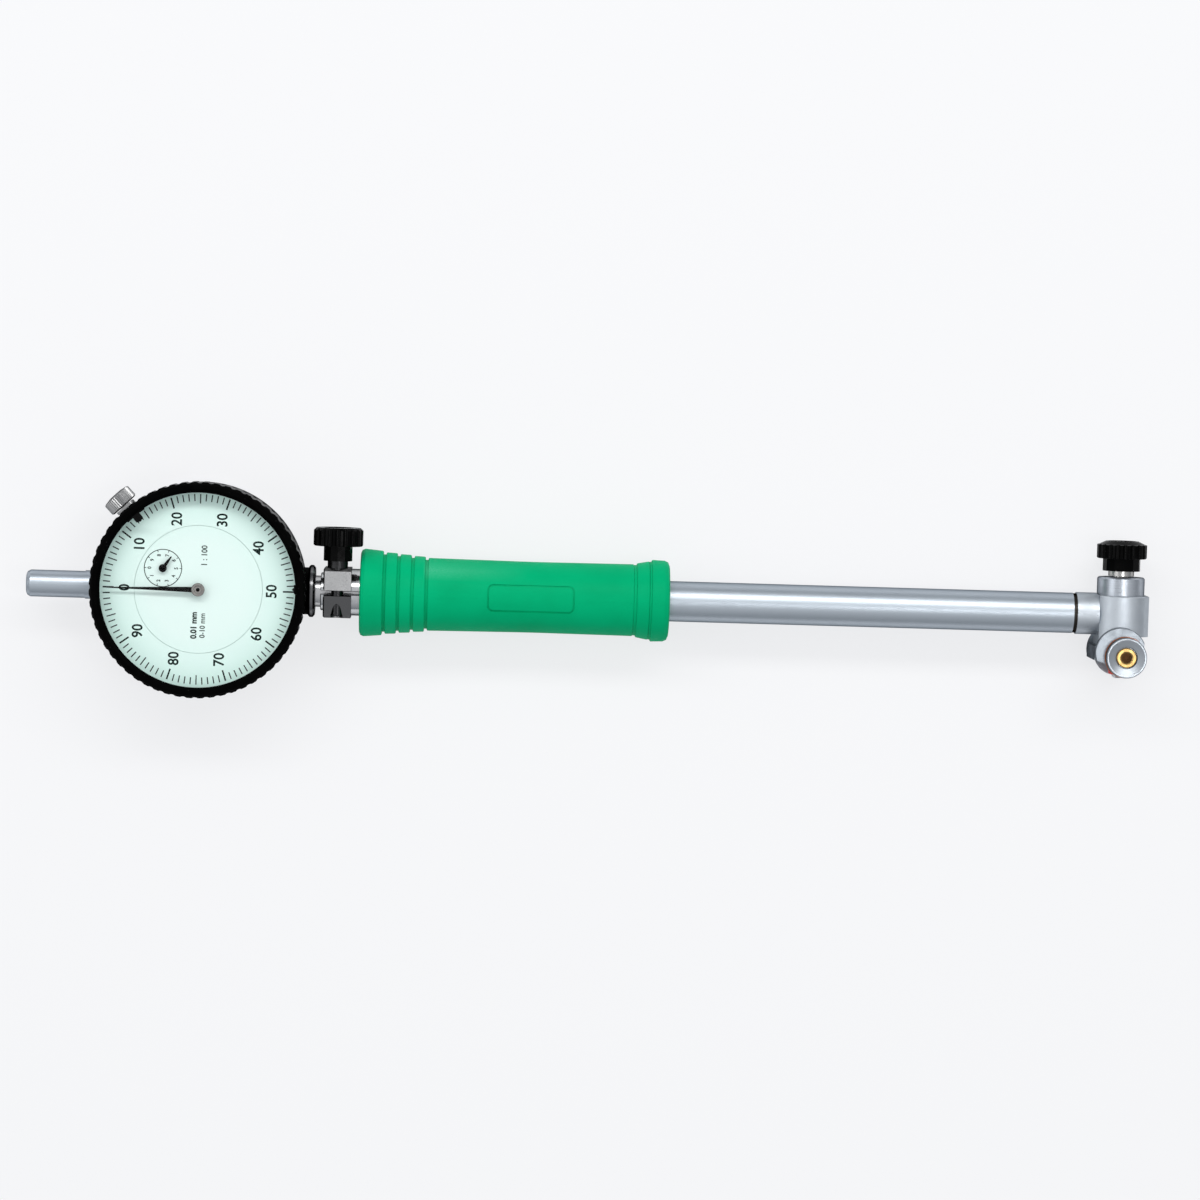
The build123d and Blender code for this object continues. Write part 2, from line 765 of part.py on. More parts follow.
# Bezel with a scalloped rim, a seat for the crystal and a groove for the limit markers
groove_bottom = marker_height - running_fit
groove_top = marker_height + marker_thickness + running_fit
with BuildPart() as bezel:
    with BuildSketch(dial_section):
        closed_outline(
            (bezel_bore, bezel_foot_height),
            (bezel_radius - 0.4, bezel_foot_height),
            (bezel_radius, bezel_foot_height + 0.4),
            (bezel_radius, bezel_top - 0.8),
            (bezel_radius - 0.7, bezel_top),
            (bezel_opening + 0.9, bezel_top),
            (bezel_opening, groove_top + 0.15),
            (bezel_opening, groove_top),
            (bezel_opening + 0.5, groove_top),
            (bezel_opening + 0.5, groove_bottom),
            (bezel_opening, groove_bottom),
            (bezel_opening, crystal_top + running_fit),
            (crystal_radius + running_fit, crystal_top + running_fit),
            (crystal_radius + running_fit, crystal_bottom),
            (bezel_shoulder_bore, crystal_bottom),
            (bezel_shoulder_bore, dial_top),
            (bezel_bore, dial_top),
        )
    revolve(axis=Axis.Z)
    with BuildSketch(Plane.XY.offset(bezel_foot_height)):
        with PolarLocations(bezel_radius + scallop_cutter - scallop_depth, bezel_scallops):
            Circle(scallop_cutter)
    extrude(amount=bezel_top - bezel_foot_height, mode=Mode.SUBTRACT)
finish(bezel, "bezel")

with BuildPart() as crystal:
    with BuildSketch(Plane.XY.offset(crystal_bottom)):
        Circle(crystal_radius)
    extrude(amount=crystal_thickness)
finish(crystal, "crystal")

# Limit markers, tabs whose feet slide in the bezel's groove
for number, (angle, width, reach) in enumerate(zip(marker_angles, marker_widths, marker_reaches), start=1):
    tip = bezel_opening - reach
    foot_radius = bezel_opening + 0.45
    marker_plane = Plane.XY.offset(marker_height).rotated((0, 0, angle))
    with BuildPart() as limit_marker:
        with BuildSketch(marker_plane):
            Circle(foot_radius)
            Circle(bezel_opening - 0.35, mode=Mode.SUBTRACT)
            with Locations((foot_radius, 0)):
                Rectangle(foot_radius / 2, width * 2.6, mode=Mode.INTERSECT)
            closed_outline(
                (tip, 0),
                (tip + 0.5, width / 2),
                (bezel_opening, width / 2),
                (bezel_opening, -width / 2),
                (tip + 0.5, -width / 2),
            )
        extrude(amount=marker_thickness)
    finish(limit_marker, f"limit_marker_{number}")

# Main pointer, a tapered blade towards zero at the free end of the spindle
with BuildPart() as main_pointer:
    with BuildSketch(Plane.XY.offset(pointer_height)):
        closed_outline(
            (-pointer_length, 0.1),
            (-pointer_length * 0.55, pointer_width * 0.36),
            (-hub_radius * 0.5, pointer_width * 0.5),
            (-hub_radius * 0.5, -pointer_width * 0.5),
            (-pointer_length * 0.55, -pointer_width * 0.36),
            (-pointer_length, -0.1),
        )
        Circle(hub_radius - 0.1)
        Circle(arbor_radius, mode=Mode.SUBTRACT)
    extrude(amount=pointer_thickness)
finish(main_pointer, "main_pointer")

with BuildPart() as pointer_hub:
    with BuildSketch(Plane.XY.offset(pointer_height + pointer_thickness)):
        Circle(hub_radius)
        Circle(arbor_radius, mode=Mode.SUBTRACT)
    extrude(amount=hub_thickness)
    chamfer(pointer_hub.edges().group_by(Axis.Z)[-1].sort_by(SortBy.LENGTH)[-1], 0.15)
finish(pointer_hub, "pointer_hub")

with BuildPart() as counter_pointer:
    counter_place = Location((*counter_centre, 0), (0, 0, counter_pointer_angle))
    with BuildSketch(Plane.XY.offset(counter_pointer_height)):
        with Locations(counter_place):
            Polygon(
                (counter_pointer_length, counter_pointer_tip),
                (0, counter_pointer_root),
                (0, -counter_pointer_root),
                (counter_pointer_length, -counter_pointer_tip),
                align=None,
            )
            Circle(hub_radius * 0.6)
            Circle(arbor_radius, mode=Mode.SUBTRACT)
    extrude(amount=counter_pointer_thickness)
finish(counter_pointer, "counter_pointer")

# Bezel clamp: a bent clip held by a knurled screw
with BuildPart() as bezel_clip:
    with BuildSketch(along_clamp(bezel_clip_inner)):
        with Locations((bezel_clip_offset, 0)):
            RectangleRounded(bezel_clip_height, bezel_clip_width, bezel_clip_corner)
        Circle(bezel_clamp_thread + running_fit, mode=Mode.SUBTRACT)
    extrude(amount=bezel_clip_thickness)
finish(bezel_clip, "bezel_clip")

knurl_points = []
for ridge in range(knurl_ridges * 2):
    ridge_radius = bezel_clamp_head_radius - (knurl_depth if ridge % 2 else 0)
    knurl_points.append(polar_point(ridge_radius, 180 * ridge / knurl_ridges))
head_length = bezel_clamp_head_length
with BuildPart() as bezel_clamp_screw:
    with BuildSketch(along_clamp(bezel_clamp_seat)):
        Polygon(*knurl_points, align=None)
    extrude(amount=head_length)
    clamp_profile = Plane(origin=along_clamp(0).origin, x_dir=clamp_direction, z_dir=(
        clamp_direction.Y, -clamp_direction.X, 0
    ))
    with BuildSketch(clamp_profile):
        closed_outline(
            (bezel_clamp_seat, 0),
            (bezel_clamp_seat, bezel_clamp_head_radius - 0.45),
            (bezel_clamp_seat + 0.35, bezel_clamp_head_radius + 0.1),
            (bezel_clamp_seat + head_length - 0.6, bezel_clamp_head_radius + 0.1),
            (bezel_clamp_seat + head_length - 0.3, bezel_clamp_head_radius - 0.5),
            (bezel_clamp_seat + head_length, bezel_clamp_head_radius - 2.0),
            (bezel_clamp_seat + head_length, 0),
        )
    revolve(axis=Axis(along_clamp(0).origin, clamp_direction), mode=Mode.INTERSECT)
    with BuildSketch(along_clamp(clamp_thread_end)):
        Circle(bezel_clamp_thread)
    extrude(amount=bezel_clamp_seat - clamp_thread_end)
finish(bezel_clamp_screw, "bezel_clamp_screw")

# Handle tube: a slotted nose that grips the stem, and a body that carries the grip and the measuring tube
with BuildPart() as handle_tube:
    with BuildSketch(tube_section):
        closed_outline(
            (nose_start, nose_bore),
            (nose_start, nose_radius - 0.2),
            (nose_start + 0.2, nose_radius),
            (clamp_end, nose_radius),
            (clamp_end, handle_radius),
            (handle_end, handle_radius),
            (handle_end, tube_radius + seat_fit),
            (tube_start, tube_radius + seat_fit),
            (tube_start, handle_bore),
            (stem_end + 2, handle_bore),
            (stem_end + 2, nose_bore),
        )
    revolve(axis=tube_axis)
    with BuildSketch(Plane.XY.offset(axis_height)):
        with Locations(((nose_start + stem_end) / 2, 0)):
            Rectangle(stem_end - nose_start, clamp_slit * 0.8)
    extrude(amount=handle_radius * 2, mode=Mode.SUBTRACT)
finish(handle_tube, "handle_tube")

# Clamp block round the nose, split towards the front, with a cross hole for the clamp screw
with BuildPart() as clamp_block:
    with BuildSketch(across_x(clamp_start)):
        Circle(clamp_back_radius)
        closed_outline(
            (clamp_half_height, -2.4),
            (clamp_half_height, clamp_front - 1.2),
            (clamp_half_height - 0.8, clamp_front - 0.5),
            (0.4, clamp_front),
            (-0.4, clamp_front),
            (-clamp_half_height + 1.2, clamp_front - 1.6),
            (-clamp_half_height, clamp_front - 2.9),
            (-clamp_half_height, -2.4),
        )
        Circle(nose_radius + seat_fit, mode=Mode.SUBTRACT)
        with Locations((0, clamp_front / 2)):
            Rectangle(clamp_slit, clamp_front + 0.1, mode=Mode.SUBTRACT)
    extrude(amount=clamp_length)
    with BuildSketch(across_y(-clamp_half_height, clamp_middle, clamp_knob_offset)):
        Circle(clamp_thread + running_fit)
    extrude(amount=clamp_half_height * 2, mode=Mode.SUBTRACT)
    chamfer(clamp_block.faces().sort_by(Axis.X)[0].outer_wire().edges(), 0.35)
finish(clamp_block, "clamp_block")

# Grip sleeve: end flanges, ribs between grooves, a slightly waisted body and a bare panel
def rib_outline(start, end, start_radius, end_radius, start_round=grip_rib_round, end_round=grip_rib_round):
    # Outline over one rib, with both corners eased
    return [
        (start, start_radius - start_round),
        (start + start_round * 0.3, start_radius - start_round * 0.3),
        (start + start_round, start_radius),
        (end - end_round, end_radius),
        (end - end_round * 0.3, end_radius - end_round * 0.3),
        (end, end_radius - end_round),
    ]


grip_bore = handle_radius + seat_fit
first_rib_start = grip_start + grip_flange_length + grip_groove_width
body_start = first_rib_start + 3 * (grip_rib_length + grip_groove_width)
end_flange_start = grip_end - end_flange_length
end_rib_start = end_flange_start - end_groove_width - end_rib_length
body_end = end_rib_start - grip_groove_width
grip_flange_radius = grip_radius + grip_flange_step
end_flange_radius = grip_body_end_radius + end_flange_step
grip_ribs = [rib_outline(
    grip_start, grip_start + grip_flange_length, grip_flange_radius,
    grip_flange_radius - grip_flange_taper, start_round=grip_flange_round,
)]
for number in range(3):
    rib_start = first_rib_start + number * (grip_rib_length + grip_groove_width)
    rib_radius = grip_radius + grip_rib_rise + (2 - number) * grip_rib_step
    grip_ribs.append(rib_outline(
        rib_start, rib_start + grip_rib_length, rib_radius, rib_radius - grip_rib_taper,
    ))
grip_body = rib_outline(body_start, body_end, grip_radius, grip_body_end_radius)
grip_body.insert(3, ((body_start + body_end) / 2, grip_waist_radius))
grip_ribs.append(grip_body)
grip_ribs.append(rib_outline(
    end_rib_start, end_rib_start + end_rib_length,
    grip_body_end_radius + grip_rib_rise - grip_rib_taper, grip_body_end_radius + 2 * grip_rib_rise,
))
grip_ribs.append(rib_outline(
    end_flange_start, grip_end, end_flange_radius, end_flange_radius - grip_rib_taper,
    end_round=end_flange_round,
))
grip_points = [(grip_start, grip_bore)]
for number, rib in enumerate(grip_ribs):
    if number:
        floor = rib[2][1] - grip_groove_depth
        grip_points += [(grip_points[-1][0], floor), (rib[0][0], floor)]
    grip_points += rib
grip_points += [
    (grip_end, tube_radius + seat_fit),
    (handle_end, tube_radius + seat_fit),
    (handle_end, grip_bore),
]
panel_middle = (body_start + body_end) / 2
with BuildPart() as panel_groove:
    with BuildSketch(Plane.XY.offset(axis_height)):
        with Locations((panel_middle, 0)):
            RectangleRounded(panel_length, panel_width, panel_corner)
            RectangleRounded(panel_length - 2 * panel_line, panel_width - 2 * panel_line,
                             panel_corner - panel_line, mode=Mode.SUBTRACT)
    extrude(amount=grip_radius)
    with BuildSketch(across_x(grip_start)):
        Circle(grip_waist_radius - panel_depth)
    extrude(amount=grip_length, mode=Mode.SUBTRACT)
with BuildPart() as grip:
    with BuildSketch(tube_section):
        closed_outline(*grip_points)
    revolve(axis=tube_axis)
    add(panel_groove.part, mode=Mode.SUBTRACT)
finish(grip, "grip")

# Measuring tube and the spacer ring at its end
with BuildPart() as measuring_tube:
    with BuildSketch(across_x(tube_start)):
        Circle(tube_radius)
        Circle(tube_bore, mode=Mode.SUBTRACT)
    extrude(amount=tube_end - tube_start)
finish(measuring_tube, "measuring_tube")

spigot_radius = tube_bore - seat_fit
with BuildPart() as joint_ring:
    with BuildSketch(across_x(tube_end)):
        Circle(tube_radius - joint_ring_step)
        Circle(spigot_radius, mode=Mode.SUBTRACT)
    extrude(amount=joint_ring_width)
finish(joint_ring, "joint_ring")

# Push rod, its guides, its collar and return spring
for number, place in enumerate(rod_guide_places, start=1):
    guide_radius = (handle_bore if place < tube_start else tube_bore) - seat_fit
    with BuildPart() as rod_guide:
        with BuildSketch(across_x(place)):
            Circle(guide_radius)
            Circle(push_rod_radius + running_fit, mode=Mode.SUBTRACT)
        extrude(amount=rod_guide_length)
    finish(rod_guide, f"rod_guide_{number}")

with BuildPart() as push_rod:
    with BuildSketch(across_x(rod_start)):
        Circle(push_rod_radius)
    extrude(amount=rod_end - rod_pin_length - rod_start)
    with BuildSketch(across_x(rod_end - rod_pin_length)):
        Circle(rod_pin_radius)
    extrude(amount=rod_pin_length)
finish(push_rod, "push_rod")

rod_collar_radius = push_rod_radius + rod_collar_step
with BuildPart() as rod_collar:
    with BuildSketch(across_x(rod_collar_place)):
        Circle(rod_collar_radius)
        Circle(push_rod_radius, mode=Mode.SUBTRACT)
    extrude(amount=rod_collar_width)
finish(rod_collar, "rod_collar")


def coil(start, direction, length, radius, turns):
    # Path of a helical spring along the given direction, and the plane of its wire's section
    path = Helix(pitch=length / turns, height=length, radius=radius, center=start, direction=direction)
    return path, Plane(origin=path @ 0, z_dir=path % 0)


rod_spring_start = rod_guide_places[0] + rod_guide_length
rod_spring_radius = push_rod_radius + rod_spring_step
with BuildPart() as rod_spring:
    rod_spring_path, rod_spring_plane = coil(
        (rod_spring_start + rod_spring_wire + running_fit, 0, axis_height), (1, 0, 0),
        rod_collar_place - rod_spring_start - 2 * (rod_spring_wire + running_fit),
        rod_spring_radius, rod_spring_turns,
    )
    with BuildSketch(rod_spring_plane):
        RegularPolygon(rod_spring_wire, 6)
    sweep(path=rod_spring_path, is_frenet=True)
finish(rod_spring, "rod_spring")

# Head body: convex front and back, flat left side, stepped on the right for the guide bridge
body_height = head_top - head_bottom
step_cut_right = head_right + 1
step_cut_bottom = head_bottom - 1
left_edge = (head_left, head_flat_half)
bevel_start = (head_right - head_bevel, head_bevel_half)
bevel_end = (head_right, head_right_half)


def mirrored(point):
    return point[0], -point[1]


with BuildPart() as head_body:
    with BuildSketch(across_y(head_bottom, head_x)):
        with BuildLine():
            ThreePointArc(left_edge, (-0.3, head_front), bevel_start)
            Polyline(bevel_start, bevel_end, mirrored(bevel_end), mirrored(bevel_start))
            ThreePointArc(mirrored(bevel_start), (-0.3, -head_front), mirrored(left_edge))
            Line(mirrored(left_edge), left_edge)
        make_face()
    extrude(amount=body_height)
    chamfer(head_body.edges().group_by(Axis.Y)[-1], 0.2)
    with BuildSketch(Plane.XY.offset(axis_height)):
        step_cut_middle = (head_x + (head_lower_right + step_cut_right) / 2, (head_step + step_cut_bottom) / 2)
        with Locations(step_cut_middle):
            Rectangle(step_cut_right - head_lower_right, head_step - step_cut_bottom)
    extrude(amount=head_front + 1, both=True, mode=Mode.SUBTRACT)
    with BuildSketch(across_x(collar_start)):
        Circle(head_collar_radius)
    extrude(amount=head_x + head_left - collar_start)
    with BuildSketch(across_y(head_top, head_x)):
        Circle(socket_radius + guide_gap)
    extrude(amount=socket_top - head_top, mode=Mode.SUBTRACT)
    with BuildSketch(across_x(rod_guide_places[1] + rod_guide_length + 2)):
        Circle(spigot_radius)
    extrude(amount=collar_start - rod_guide_places[1] - rod_guide_length - 2)
    with BuildSketch(across_x(rod_guide_places[1])):
        Circle(push_rod_radius + guide_gap / 2)
    extrude(amount=crank_pivot[0] + crank_drop - rod_guide_places[1], mode=Mode.SUBTRACT)
    cavity_left = crank_pivot[0] - crank_drop - crank_nose - guide_gap
    cavity_right = head_x + crank_nose + guide_gap
    cavity_top = crank_drop + crank_nose + guide_gap
    cavity_bottom = plunger_top - guide_gap
    with BuildSketch(Plane.XY.offset(axis_height)):
        with Locations(((cavity_left + cavity_right) / 2, (cavity_top + cavity_bottom) / 2)):
            Rectangle(cavity_right - cavity_left, cavity_top - cavity_bottom)
    extrude(amount=crank_half_width + running_fit, both=True, mode=Mode.SUBTRACT)
    with BuildSketch(across_y(head_bottom, head_x)):
        Circle(plunger_radius + running_fit)
    extrude(amount=plunger_top + crank_drop * 2 + guide_gap - head_bottom, mode=Mode.SUBTRACT)
    with BuildSketch(across_y(head_bottom, head_x)):
        with Locations((0, spring_pitch_circle), (0, -spring_pitch_circle)):
            Circle(bridge_spring_radius + guide_gap / 2)
    extrude(amount=head_step - spring_pocket - head_bottom, mode=Mode.SUBTRACT)
    with BuildSketch(across_y(head_top, head_x)):
        Circle(socket_spigot_radius)
    extrude(amount=-socket_spigot_length, mode=Mode.SUBTRACT)
    with BuildSketch(Plane.XY.offset(axis_height - head_front)):
        with Locations(crank_pivot):
            Circle(crank_pin_radius)
    extrude(amount=head_front + crank_pin_reach, mode=Mode.SUBTRACT)
finish(head_body, "head_body")

# Socket on top of the head for the interchangeable anvil
with BuildPart() as anvil_socket:
    with BuildSketch(head_section):
        closed_outline(
            (lock_thread + running_fit, head_top - socket_spigot_length),
            (socket_spigot_radius, head_top - socket_spigot_length),
            (socket_spigot_radius, head_top),
            (socket_radius, head_top),
            (socket_radius, socket_top - 0.35),
            (socket_radius - 0.35, socket_top),
            (socket_recess_radius, socket_top),
            (socket_recess_radius, socket_top - socket_recess_depth),
            (lock_thread + running_fit, socket_top - socket_recess_depth),
        )
    revolve(axis=head_axis)
finish(anvil_socket, "anvil_socket")

# Lock knob over the socket: threaded stud with a steel collar, and a fluted plastic knob
lock_collar_start = socket_top + level_gap
lock_hub_start = lock_collar_start + lock_collar_width
lock_head_start = lock_hub_start + lock_hub_width
lock_head_end = lock_head_start + lock_head_width
lock_knob_end = lock_head_end + lock_crown
with BuildPart() as lock_stud:
    with BuildSketch(head_section):
        closed_outline(
            (0, head_top - knob_seat),
            (lock_thread, head_top - knob_seat),
            (lock_thread, lock_collar_start),
            (lock_collar_radius, lock_collar_start),
            (lock_collar_radius, lock_hub_start),
            (lock_thread, lock_hub_start),
            (lock_thread, lock_head_start + knob_seat),
            (0, lock_head_start + knob_seat),
        )
    revolve(axis=head_axis)
finish(lock_stud, "lock_stud")

with BuildPart() as lock_knob:
    with BuildSketch(head_section):
        closed_outline(
            (lock_thread, lock_head_start),
            (lock_knob_radius - 0.25, lock_head_start),
            (lock_knob_radius, lock_head_start + 0.25),
            (lock_knob_radius, lock_head_end - 0.15),
            (lock_knob_radius - 0.5, lock_head_end),
            (lock_knob_radius * 0.66, lock_knob_end),
            (lock_knob_radius * 0.58, lock_knob_end),
            (lock_knob_radius * 0.55, lock_knob_end - 0.4),
            (0, lock_knob_end - 0.4),
            (0, lock_head_start + knob_seat),
            (lock_thread, lock_head_start + knob_seat),
        )
    revolve(axis=head_axis)
    with BuildSketch(across_y(lock_head_start, head_x)):
        with PolarLocations(lock_knob_radius + flute_cutter - flute_depth, knob_flutes):
            Circle(flute_cutter)
    extrude(amount=lock_knob_end - lock_head_start, mode=Mode.SUBTRACT)
    with BuildSketch(across_y(lock_hub_start, head_x)):
        RegularPolygon(lock_hub_radius, 12)
        Circle(lock_thread, mode=Mode.SUBTRACT)
    extrude(amount=lock_head_start - lock_hub_start)
finish(lock_knob, "lock_knob")

# Clamp screw and its knob at the dial end
clamp_knob_axis = Axis((clamp_middle, 0, axis_height + clamp_knob_offset), (0, 1, 0))
clamp_knob_section = Plane(
    origin=(clamp_middle, 0, axis_height + clamp_knob_offset), x_dir=(1, 0, 0), z_dir=(0, 0, 1)
)
clamp_collar_start = clamp_half_height + running_fit
clamp_hub_start = clamp_collar_start + clamp_collar_width
clamp_head_start = clamp_hub_start + clamp_hub_width
clamp_head_end = clamp_head_start + clamp_head_width
clamp_collar_radius = clamp_hub_radius - clamp_collar_step
with BuildPart() as clamp_screw:
    with BuildSketch(clamp_knob_section):
        closed_outline(
            (0, clamp_screw_inset - clamp_half_height),
            (clamp_thread * 0.8, clamp_screw_inset - clamp_half_height),
            (clamp_thread, clamp_screw_inset * 1.5 - clamp_half_height),
            (clamp_thread, clamp_collar_start),
            (clamp_collar_radius, clamp_collar_start),
            (clamp_collar_radius, clamp_hub_start),
            (clamp_thread, clamp_hub_start),
            (clamp_thread, clamp_head_start + knob_seat),
            (0, clamp_head_start + knob_seat),
        )
    revolve(axis=clamp_knob_axis)
finish(clamp_screw, "clamp_screw")

with BuildPart() as clamp_knob:
    with BuildSketch(clamp_knob_section):
        closed_outline(
            (clamp_thread, clamp_head_start),
            (clamp_knob_radius - 0.3, clamp_head_start),
            (clamp_knob_radius, clamp_head_start + 0.3),
            (clamp_knob_radius, clamp_head_end - 0.7),
            (clamp_knob_radius - 0.7, clamp_head_end),
            (clamp_knob_radius * 0.6, clamp_head_end),
            (clamp_knob_radius * 0.57, clamp_head_end - 0.4),
            (0, clamp_head_end - 0.4),
            (0, clamp_head_start + knob_seat),
            (clamp_thread, clamp_head_start + knob_seat),
        )
    revolve(axis=clamp_knob_axis)
    with BuildSketch(across_y(clamp_head_start, clamp_middle, clamp_knob_offset)):
        with PolarLocations(clamp_knob_radius + flute_cutter - flute_depth, knob_flutes):
            Circle(flute_cutter)
    extrude(amount=clamp_head_end - clamp_head_start, mode=Mode.SUBTRACT)
    with BuildSketch(across_y(clamp_hub_start, clamp_middle, clamp_knob_offset)):
        RegularPolygon(clamp_hub_radius, 12)
        Circle(clamp_thread, mode=Mode.SUBTRACT)
    extrude(amount=clamp_head_start - clamp_hub_start)
finish(clamp_knob, "clamp_knob")

# Bell crank that turns the contact's travel into the push rod's
with BuildPart() as bell_crank:
    with BuildSketch(Plane(origin=(*crank_pivot, axis_height - crank_half_width))):
        contact_nose = polar_point(crank_arm, -crank_swing / 2)
        rod_nose = polar_point(crank_arm, 90 - crank_swing / 2)
        with BuildLine():
            Polyline(contact_nose, (0, 0), rod_nose)
        trace(line_width=crank_nose * 1.2)
        with Locations(contact_nose, rod_nose):
            Circle(crank_nose)
        Circle(crank_nose * 2)
        Circle(crank_pin_radius + running_fit, mode=Mode.SUBTRACT)
    extrude(amount=crank_half_width * 2)
finish(bell_crank, "bell_crank")

with BuildPart() as crank_pin:
    with BuildSketch(Plane.XY.offset(axis_height - head_front + crank_pin_inset)):
        with Locations(crank_pivot):
            Circle(crank_pin_radius)
    extrude(amount=head_front - crank_pin_inset + crank_pin_reach)
finish(crank_pin, "crank_pin")

# Measuring contact: plunger, red ring and hard tip
contact_ring_bottom = contact_ring_top - contact_ring_width
with BuildPart() as contact_plunger:
    with BuildSketch(head_section):
        closed_outline(
            (0, plunger_top),
            (rod_pin_radius, plunger_top),
            (rod_pin_radius, plunger_top - plunger_pin_length),
            (plunger_radius, plunger_top - plunger_pin_length),
            (plunger_radius, contact_ring_top),
            (plunger_neck, contact_ring_top),
            (plunger_neck, contact_ring_bottom),
            (0, contact_ring_bottom),
        )
    revolve(axis=head_axis)
finish(contact_plunger, "contact_plunger")

with BuildPart() as contact_ring:
    with BuildSketch(head_section):
        closed_outline(
            (plunger_neck, contact_ring_top),
            (contact_ring_radius, contact_ring_top),
            (contact_ring_radius, contact_ring_bottom + 0.3),
            (contact_ring_radius - 0.3, contact_ring_bottom),
            (plunger_neck, contact_ring_bottom),
        )
    revolve(axis=head_axis)
finish(contact_ring, "contact_ring")

with BuildPart() as contact_tip:
    with BuildSketch(head_section):
        closed_outline(
            (0, contact_ring_bottom),
            (plunger_neck, contact_ring_bottom),
            (plunger_neck, contact_ring_bottom - 0.3),
            (plunger_neck * 0.78, contact_end + 0.24),
            (plunger_neck * 0.4, contact_end + 0.05),
            (0, contact_end),
        )
    revolve(axis=head_axis)
finish(contact_tip, "contact_tip")

# Guide bridge: a front cheek, a larger rear cheek, two side walls and two spring lugs
roller_boss = roller_radius - 0.3
axle_radius = roller_bore - running_fit
wall_height = bridge_wall_top - cheek_corner[1]
cheek_left = cheek_centre[0] - cheek_radius
side_walls = ((cheek_left, head_left - guide_gap), (head_lower_right + guide_gap, cheek_right))
with BuildPart() as guide_bridge:
    for side in (1, -1):
        cheek_start = axis_height + (cheek_inner if side > 0 else -cheek_outer)
        ear_radius = roller_boss if side > 0 else rear_ear_radius
        with BuildSketch(Plane(origin=(head_x, 0, cheek_start))):
            closed_outline(
                (-cheek_radius * 1.2, 0),
                (cheek_right, 0),
                (cheek_right, cheek_foot[1]),
                cheek_foot,
                cheek_corner,
                (-cheek_radius * 1.2, cheek_corner[1]),
            )
            with Locations(cheek_centre):
                Circle(cheek_radius, mode=Mode.INTERSECT)
            with Locations((roller_x, roller_y)):
                Circle(ear_radius)
                Circle(axle_radius, mode=Mode.SUBTRACT)
        extrude(amount=cheek_thickness)
    front_arcs = guide_bridge.faces().sort_by(Axis.Z)[-1].outer_wire().edges().filter_by(GeomType.CIRCLE)
    chamfer(front_arcs.sort_by(SortBy.RADIUS)[-1], 0.25)
    rear_arcs = guide_bridge.faces().sort_by(Axis.Z)[0].outer_wire().edges().filter_by(GeomType.CIRCLE)
    chamfer(rear_arcs.sort_by(SortBy.RADIUS)[-1], 0.25)
    with BuildSketch(Plane(origin=(head_x, 0, axis_height - cheek_inner))):
        for wall_left, wall_right in side_walls:
            with Locations(((wall_left + wall_right) / 2, cheek_corner[1] + wall_height / 2)):
                Rectangle(wall_right - wall_left, wall_height)
    extrude(amount=cheek_inner * 2)
    for side in (1, -1):
        lug_start = axis_height + side * (spring_pitch_circle - bridge_spring_radius)
        with BuildSketch(Plane(origin=(head_x, 0, lug_start))):
            with Locations((0, bridge_lug_top - bridge_lug_height / 2)):
                Rectangle(bridge_spring_radius * 2.6, bridge_lug_height)
        extrude(amount=side * (cheek_inner - spring_pitch_circle + bridge_spring_radius))
    with BuildSketch(Plane(origin=(head_x, 0, axis_height + cheek_outer))):
        with Locations((cheek_centre[0], cheek_centre[1] + cheek_radius - index_line_length * 0.7)):
            Rectangle(index_line_width, index_line_length)
    extrude(amount=-index_line_width * 0.6, mode=Mode.SUBTRACT)
finish(guide_bridge, "guide_bridge")

# Springs that push the bridge out of the head
spring_top = head_step - spring_pocket
spring_length = spring_top - bridge_lug_top
with BuildPart() as bridge_springs:
    for side in (1, -1):
        spring_path, spring_plane = coil(
            (head_x, bridge_lug_top + bridge_wire, axis_height + side * spring_pitch_circle), (0, 1, 0),
            spring_length - 2 * bridge_wire, bridge_spring_radius - bridge_wire, bridge_spring_turns,
        )
        with BuildSketch(spring_plane):
            RegularPolygon(bridge_wire, 4)
        sweep(path=spring_path, is_frenet=True)
finish(bridge_springs, "bridge_springs")

